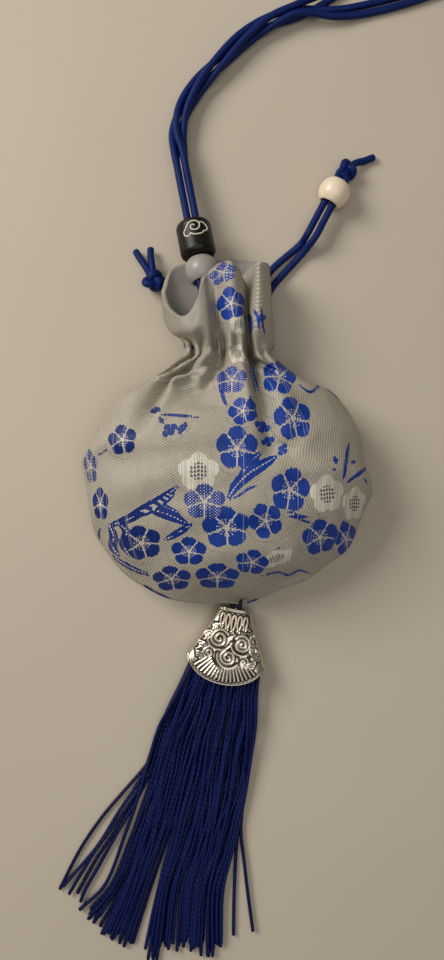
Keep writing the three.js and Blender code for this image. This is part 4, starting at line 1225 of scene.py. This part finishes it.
thread_radius = 0.5
thread_count = 112
thread_levels = [
    ((-8.9, -24.2), (9.6, -28.9), 0.9, 5.4), ((-11.8, -30.3), (9.1, -35.4), 0.7, 4.6),
    ((-15.5, -38.2), (8.8, -45), 0.6, 3.7), ((-18.9, -45.1), (7.7, -53), 0.6, 3),
    ((-22.1, -55.5), (6.3, -63.1), 0.6, 2.5), ((-25.2, -66), (4.6, -71.6), 0.6, 2.2),
    ((-28.5, -75.4), (2.4, -80.5), 0.6, 2), ((-34.2, -89.9), (-0.2, -91.6), 0.6, 1.9),
]
thread_ends = [
    (-41.4, -96.8), (-38.3, -100.2), (-33.7, -104.6), (-29.8, -106.4), (-26.1, -108.2), (-20.1, -110.4),
    (-15.8, -109.6), (-11, -107), (-8.4, -109), (-3.9, -110.8), (-0.8, -107.9),
]
stray_threads = [
    [(-21.3, -53.4), (-22.1, -56), (-28.4, -63.4), (-35, -71.2), (-41.2, -80.4), (-46.9, -91.5)],
    [(-21.3, -54), (-24.1, -60.5), (-29.8, -69), (-35.8, -78.7), (-41.2, -85.3), (-45.9, -90.7)],
    [(-20.7, -56), (-24.7, -63.4), (-30.9, -72.5), (-36.9, -80.7), (-40.6, -86.7), (-44.2, -92.7)],
    [(-20.7, -57.1), (-24.1, -64.2), (-30.4, -73.9), (-36.1, -82.4), (-39.2, -87.8), (-41.9, -92.7)],
    [(-21, -57.8), (-25, -66), (-31.4, -77), (-36.4, -86), (-39.6, -91.6), (-41, -95)],
    [(5.8, -63.4), (4.9, -69.6), (4.6, -75.6), (5.5, -83.3), (6.3, -90.4), (8, -103.2)],
    [(5.2, -66.2), (4.3, -71.9), (3.5, -77.6), (2.9, -87.8), (2.6, -96.1), (2.5, -104.6)],
    [(1.5, -79), (0.1, -85.6), (-0.8, -91.8), (-1.1, -98.9), (-1.2, -107.8)],
]


def thread_head(across, layer):
    """From the loop through the binding to the cap's mouth, in the tassel's frame."""
    places = [(-7.6, 4.3, 0.9), (-10.4, 5.4, 1.3), (-14.5, 7.4, 1.9), (-19, 9.2, 2.2)]
    return from_tassel([(across * wide, y, cap_middle + layer * thick) for y, wide, thick in places])


scatter = np.random.default_rng(11)
thread_lines = []
for number in range(thread_count):
    share = (number + 0.5) / thread_count
    layer = (number * 0.618) % 1
    drift = scatter.normal(0, 0.02, len(thread_levels)).cumsum() * 0.8
    crossing = scatter.choice([0, 0, 0.06, 0.14, -0.1])
    points = list(thread_head(2 * share - 1, 2 * layer - 1))
    for count, (left, right, low, high) in enumerate(thread_levels):
        at = min(max(share + drift[count] + crossing * count / len(thread_levels), 0.01), 0.99)
        lift = layer + 0.25 * math.sin(count * 1.3 + number * 2.1)
        x, y = np.array(left) * (1 - at) + np.array(right) * at
        points.append((x, y, low + (high - low) * min(max(lift, 0), 1)))
    last = points[-1]
    foot = spread(thread_ends, [at])[0]
    foot = foot + (foot - np.array(last[:2])) * scatter.uniform(-0.22, 0.06)
    points.append((*foot, 0.6 + 1.1 * min(max(layer, 0), 1)))
    thread_lines.append(smooth_line(points, 1.5))
for number, stray in enumerate(stray_threads):
    left_side = stray[0][0] < 0
    at = (0.02 if left_side else 0.98) if number % 2 else (0.05 if left_side else 0.95)
    points = list(thread_head(2 * at - 1, -0.3))
    for left, right, low, high in thread_levels[: 4 if left_side else 5]:
        x, y = np.array(left) * (1 - at) + np.array(right) * at
        if y > stray[0][1] + 5:
            points.append((x, y, low + 0.4))
    points += [(x, y, 0.75 + 0.25 * (number % 3)) for x, y in stray]
    thread_lines.append(smooth_line(points, 1.5))
threads = add_tubes("threads", thread_lines, [thread_radius] * len(thread_lines), 8, tassel_blue)
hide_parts("tassel_skein")


# Silver tassel cap
# A hollow cast fan of antique silver that covers the head of the skein. Both faces carry curls,
# waves, loops and rays in relief, and the hollows between them have gone dark.

cap_columns = 340
wall_rows = 112
cap_top = -2.2
cap_side = 14.6
cap_bulge = 6.4
cap_top_width, cap_foot_width = 9, 22.4
cap_top_thickness, cap_foot_thickness = 5.8, 7.4
wall = 0.8
slot_wide, slot_thick = 2.45, 1.05


def curl(x, y, reach, rounds, start, handed):
    """A spiral ridge that winds inwards."""
    turns = np.linspace(0, rounds * 2 * math.pi, max(10, int(rounds * 18)))
    radius = reach * (1 - 0.86 * turns / turns[-1])
    angles = math.radians(start) + handed * turns
    return np.column_stack([x + radius * np.cos(angles), y + radius * np.sin(angles)])


def bow(x, y, wide, tall, start, end):
    """Part of an oval ridge."""
    angles = np.radians(np.linspace(start, end, 14))
    return np.column_stack([x + wide * np.cos(angles), y + tall * np.sin(angles)])


ridges = [
    (curl(-3.1, -10.9, 2.7, 2, 35, 1), 0.42, 0.5), (curl(3.5, -11.5, 2.5, 2.1, 150, -1), 0.42, 0.5),
    (curl(0.3, -15.6, 2.3, 1.9, 120, 1), 0.42, 0.5), (curl(-6.2, -10.4, 1.3, 1.5, 60, 1), 0.34, 0.4),
    (curl(6.9, -12.6, 1.8, 1.7, 110, -1), 0.36, 0.42), (curl(6, -8.9, 1.2, 1.4, 120, -1), 0.32, 0.4),
    (curl(-5.4, -15.2, 1.8, 1.7, 30, 1), 0.36, 0.42), (curl(4.8, -16.2, 1.6, 1.6, 140, -1), 0.34, 0.4),
    (curl(-4.6, -7.9, 1.1, 1.4, 60, 1), 0.32, 0.36),
    (bow(-2.9, -10.8, 3.5, 3.2, 190, 350), 0.36, 0.42), (bow(0.4, -15.4, 3.2, 3.1, 170, 330), 0.36, 0.36),
    (bow(3.6, -11.4, 3.2, 3.1, 200, 340), 0.34, 0.34),
]
small_loops = [(-3.2, -5.2, 1.5), (-1.6, -5.6, 1.9), (0.05, -5.9, 2.1), (1.7, -5.7, 1.9), (3.3, -5.3, 1.5)]
for x, y, tall in small_loops:
    ridges.append((bow(x, y, 0.56, tall, 0, 360), 0.26, 0.42))
    ridges.append((bow(x, y - tall - 0.5, 0.4, 0.4, 0, 360), 0.24, 0.34))
for x, y, handed in ((-7.9, -14.6, 1), (8.6, -15.8, -1), (-8.1, -17.4, 1), (7.3, -18, -1)):
    for reach in (0.8, 1.45, 2.1):
        start = 20 if handed > 0 else 70
        ridges.append((bow(x, y, reach, reach, start, start + 90), 0.24, 0.34))
for number in range(-8, 9):
    angle = math.radians(270 + number * 6.1)
    near, far = 7.4 - 0.02 * number**2, 10.4 + 0.012 * number**2
    ray = np.outer((near, far), (math.cos(angle), math.sin(angle))) + (0, -11.6)
    ridges.append((ray, 0.31, 0.4))
for side in (-1, 1):
    for number in range(6):
        y = -6.6 - number * 1.5
        x = side * (3.7 + number * 0.83)
        ridges.append((np.array([(x, y), (x + side * 1.1, y - 0.75)]), 0.24, 0.3))

# Turns at even steps round an oval like the middle of the wall.
turns = np.linspace(0, 2 * math.pi, 4001)
oval = np.column_stack(rounded_box(turns, 8, 3.4))
passed = lengths_along(oval)
turns = np.interp(np.linspace(0, passed[-1], cap_columns + 1), passed, turns)

cap_rows = []


def add_cap_row(y, wide, thick):
    x, z = rounded_box(turns, wide, thick)
    cap_rows.append(np.column_stack([x, np.broadcast_to(y, x.shape), z + cap_middle]))


def cap_size(share, inset):
    """Half the width and half the thickness of the cap at a share of its sides' length."""
    wide = cap_top_width + (cap_foot_width - cap_top_width) * np.maximum(share, 0) ** 1.15
    thick = cap_top_thickness + (cap_foot_thickness - cap_top_thickness) * share
    return wide / 2 - inset, thick / 2 - inset


def add_wall_row(part, inset):
    """A ring of the wall at a part of the way down. The foot of the fan is an arc."""
    for_x, _ = rounded_box(turns, 1, 1)
    down = part * (cap_side + cap_bulge * (1 - for_x**2))
    wide, thick = cap_size(down / cap_side, inset)
    add_cap_row(cap_top - down, wide, thick)


for part in np.linspace(0, 1, 8):
    add_cap_row(cap_top, slot_wide + (4.2 - slot_wide) * part, slot_thick + (2.6 - slot_thick) * part)
add_wall_row(0.003, 0.12)
first_wall = len(cap_rows)
for part in np.linspace(0.012, 0.99, wall_rows):
    add_wall_row(part, 0)
last_wall = len(cap_rows)
for part, inset in ((0.996, 0.06), (1, 0.25), (1, 0.55), (0.996, 0.74)):
    add_wall_row(part, inset)
for part in np.linspace(0.97, 0.06, 12):
    add_wall_row(part, wall)
for part in np.linspace(1, 0, 4):
    add_cap_row(cap_top - wall, slot_wide + (3.4 - slot_wide) * part, slot_thick + (1.9 - slot_thick) * part)
add_cap_row(cap_top - wall / 2, 2.4, 1)
cap_rows.append(cap_rows[0])
cap_grid = np.array(cap_rows)

# The relief is highest on the two faces and dies away towards the narrow sides.
height = np.zeros(cap_grid.shape[:2])
beside = np.full(cap_grid.shape[:2], 9.0)
for points, half_width, high in ridges:
    away, _ = line_distance(cap_grid, points)
    beside = np.minimum(beside, away - half_width * 0.7)
    height = np.maximum(height, high * np.sqrt(np.clip(1 - (away / half_width) ** 2, 0, 1)))
share_down = np.linspace(0, 1, wall_rows)[:, None]
for middle, half_width, high in ((0.015, 0.022, 0.35), (0.972, 0.02, 0.36)):
    band = high * np.sqrt(np.clip(1 - ((share_down - middle) / half_width) ** 2, 0, 1))
    height[first_wall:last_wall] = np.maximum(height[first_wall:last_wall], band)
cap_out = normals_of(cap_grid)
cap_out *= -np.sign(cap_out[first_wall + 20, cap_columns // 4, 2])
facing = ease((np.abs(cap_out[:, :, 2]) - 0.45) / 0.35)
on_wall = np.zeros(len(cap_grid))
on_wall[first_wall:last_wall] = 1
height *= np.maximum(facing, 0.15) * on_wall[:, None]
height = softened(height[:, :, None], 1)[:, :, 0]
cap_grid = cap_grid + cap_out * height[:, :, None]

bpy.ops.object.select_all(action="DESELECT")
bpy.ops.mesh.primitive_grid_add(x_subdivisions=cap_columns, y_subdivisions=len(cap_grid) - 1, size=2)
cap = bpy.context.object
cap.name = cap.data.name = "cap"
flat = np.array([corner.co[:2] for corner in cap.data.vertices])
column = np.round((flat[:, 0] + 1) / 2 * cap_columns).astype(int)
row = np.round((flat[:, 1] + 1) / 2 * (len(cap_grid) - 1)).astype(int)
cap.data.vertices.foreach_set("co", (from_tassel(cap_grid[row, column]) * MM).astype(np.float32).ravel())
hollow = np.clip(beside / 0.12, 0, 1) * (1 - ease((beside - 0.25) / 0.7))
hollow[:first_wall] = 0.3
hollow[last_wall:] = 0.5
hollow *= np.maximum(facing, 0.15)
stained = cap.data.attributes.new("hollow", "FLOAT", "POINT")
stained.data.foreach_set("value", hollow[row, column].astype(np.float32))
bpy.ops.object.mode_set(mode="EDIT")
bpy.ops.mesh.select_all(action="SELECT")
bpy.ops.mesh.remove_doubles(threshold=0.002 * MM)
leave_editing()
bpy.ops.object.shade_smooth()

silver, shader = new_material("silver", Metallic=1)
place = places_on(shader)
tarnish = speckle(place, 420, 4)
pits = speckle(place, 2400, 2)
dark = from_to(times_plus(tarnish, 0.35, stored(shader, "hollow", "Fac")), 0.62, 1.1)
bright = between(tarnish, paint(226, 220, 208), paint(196, 184, 168))
feed(shader, "Base Color", between(dark, bright, paint(54, 46, 38)))
feed(shader, "Roughness", times_plus(dark, 0.3, times_plus(tarnish, 0.2, 0.16)))
relief(shader, pits, 0.015 * MM, 0.5)
cap.data.materials.append(silver)

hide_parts("tassel_cap")
for piece in (tassel_loop, loop_knot, binding, threads, cap):
    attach(piece, "tassel")
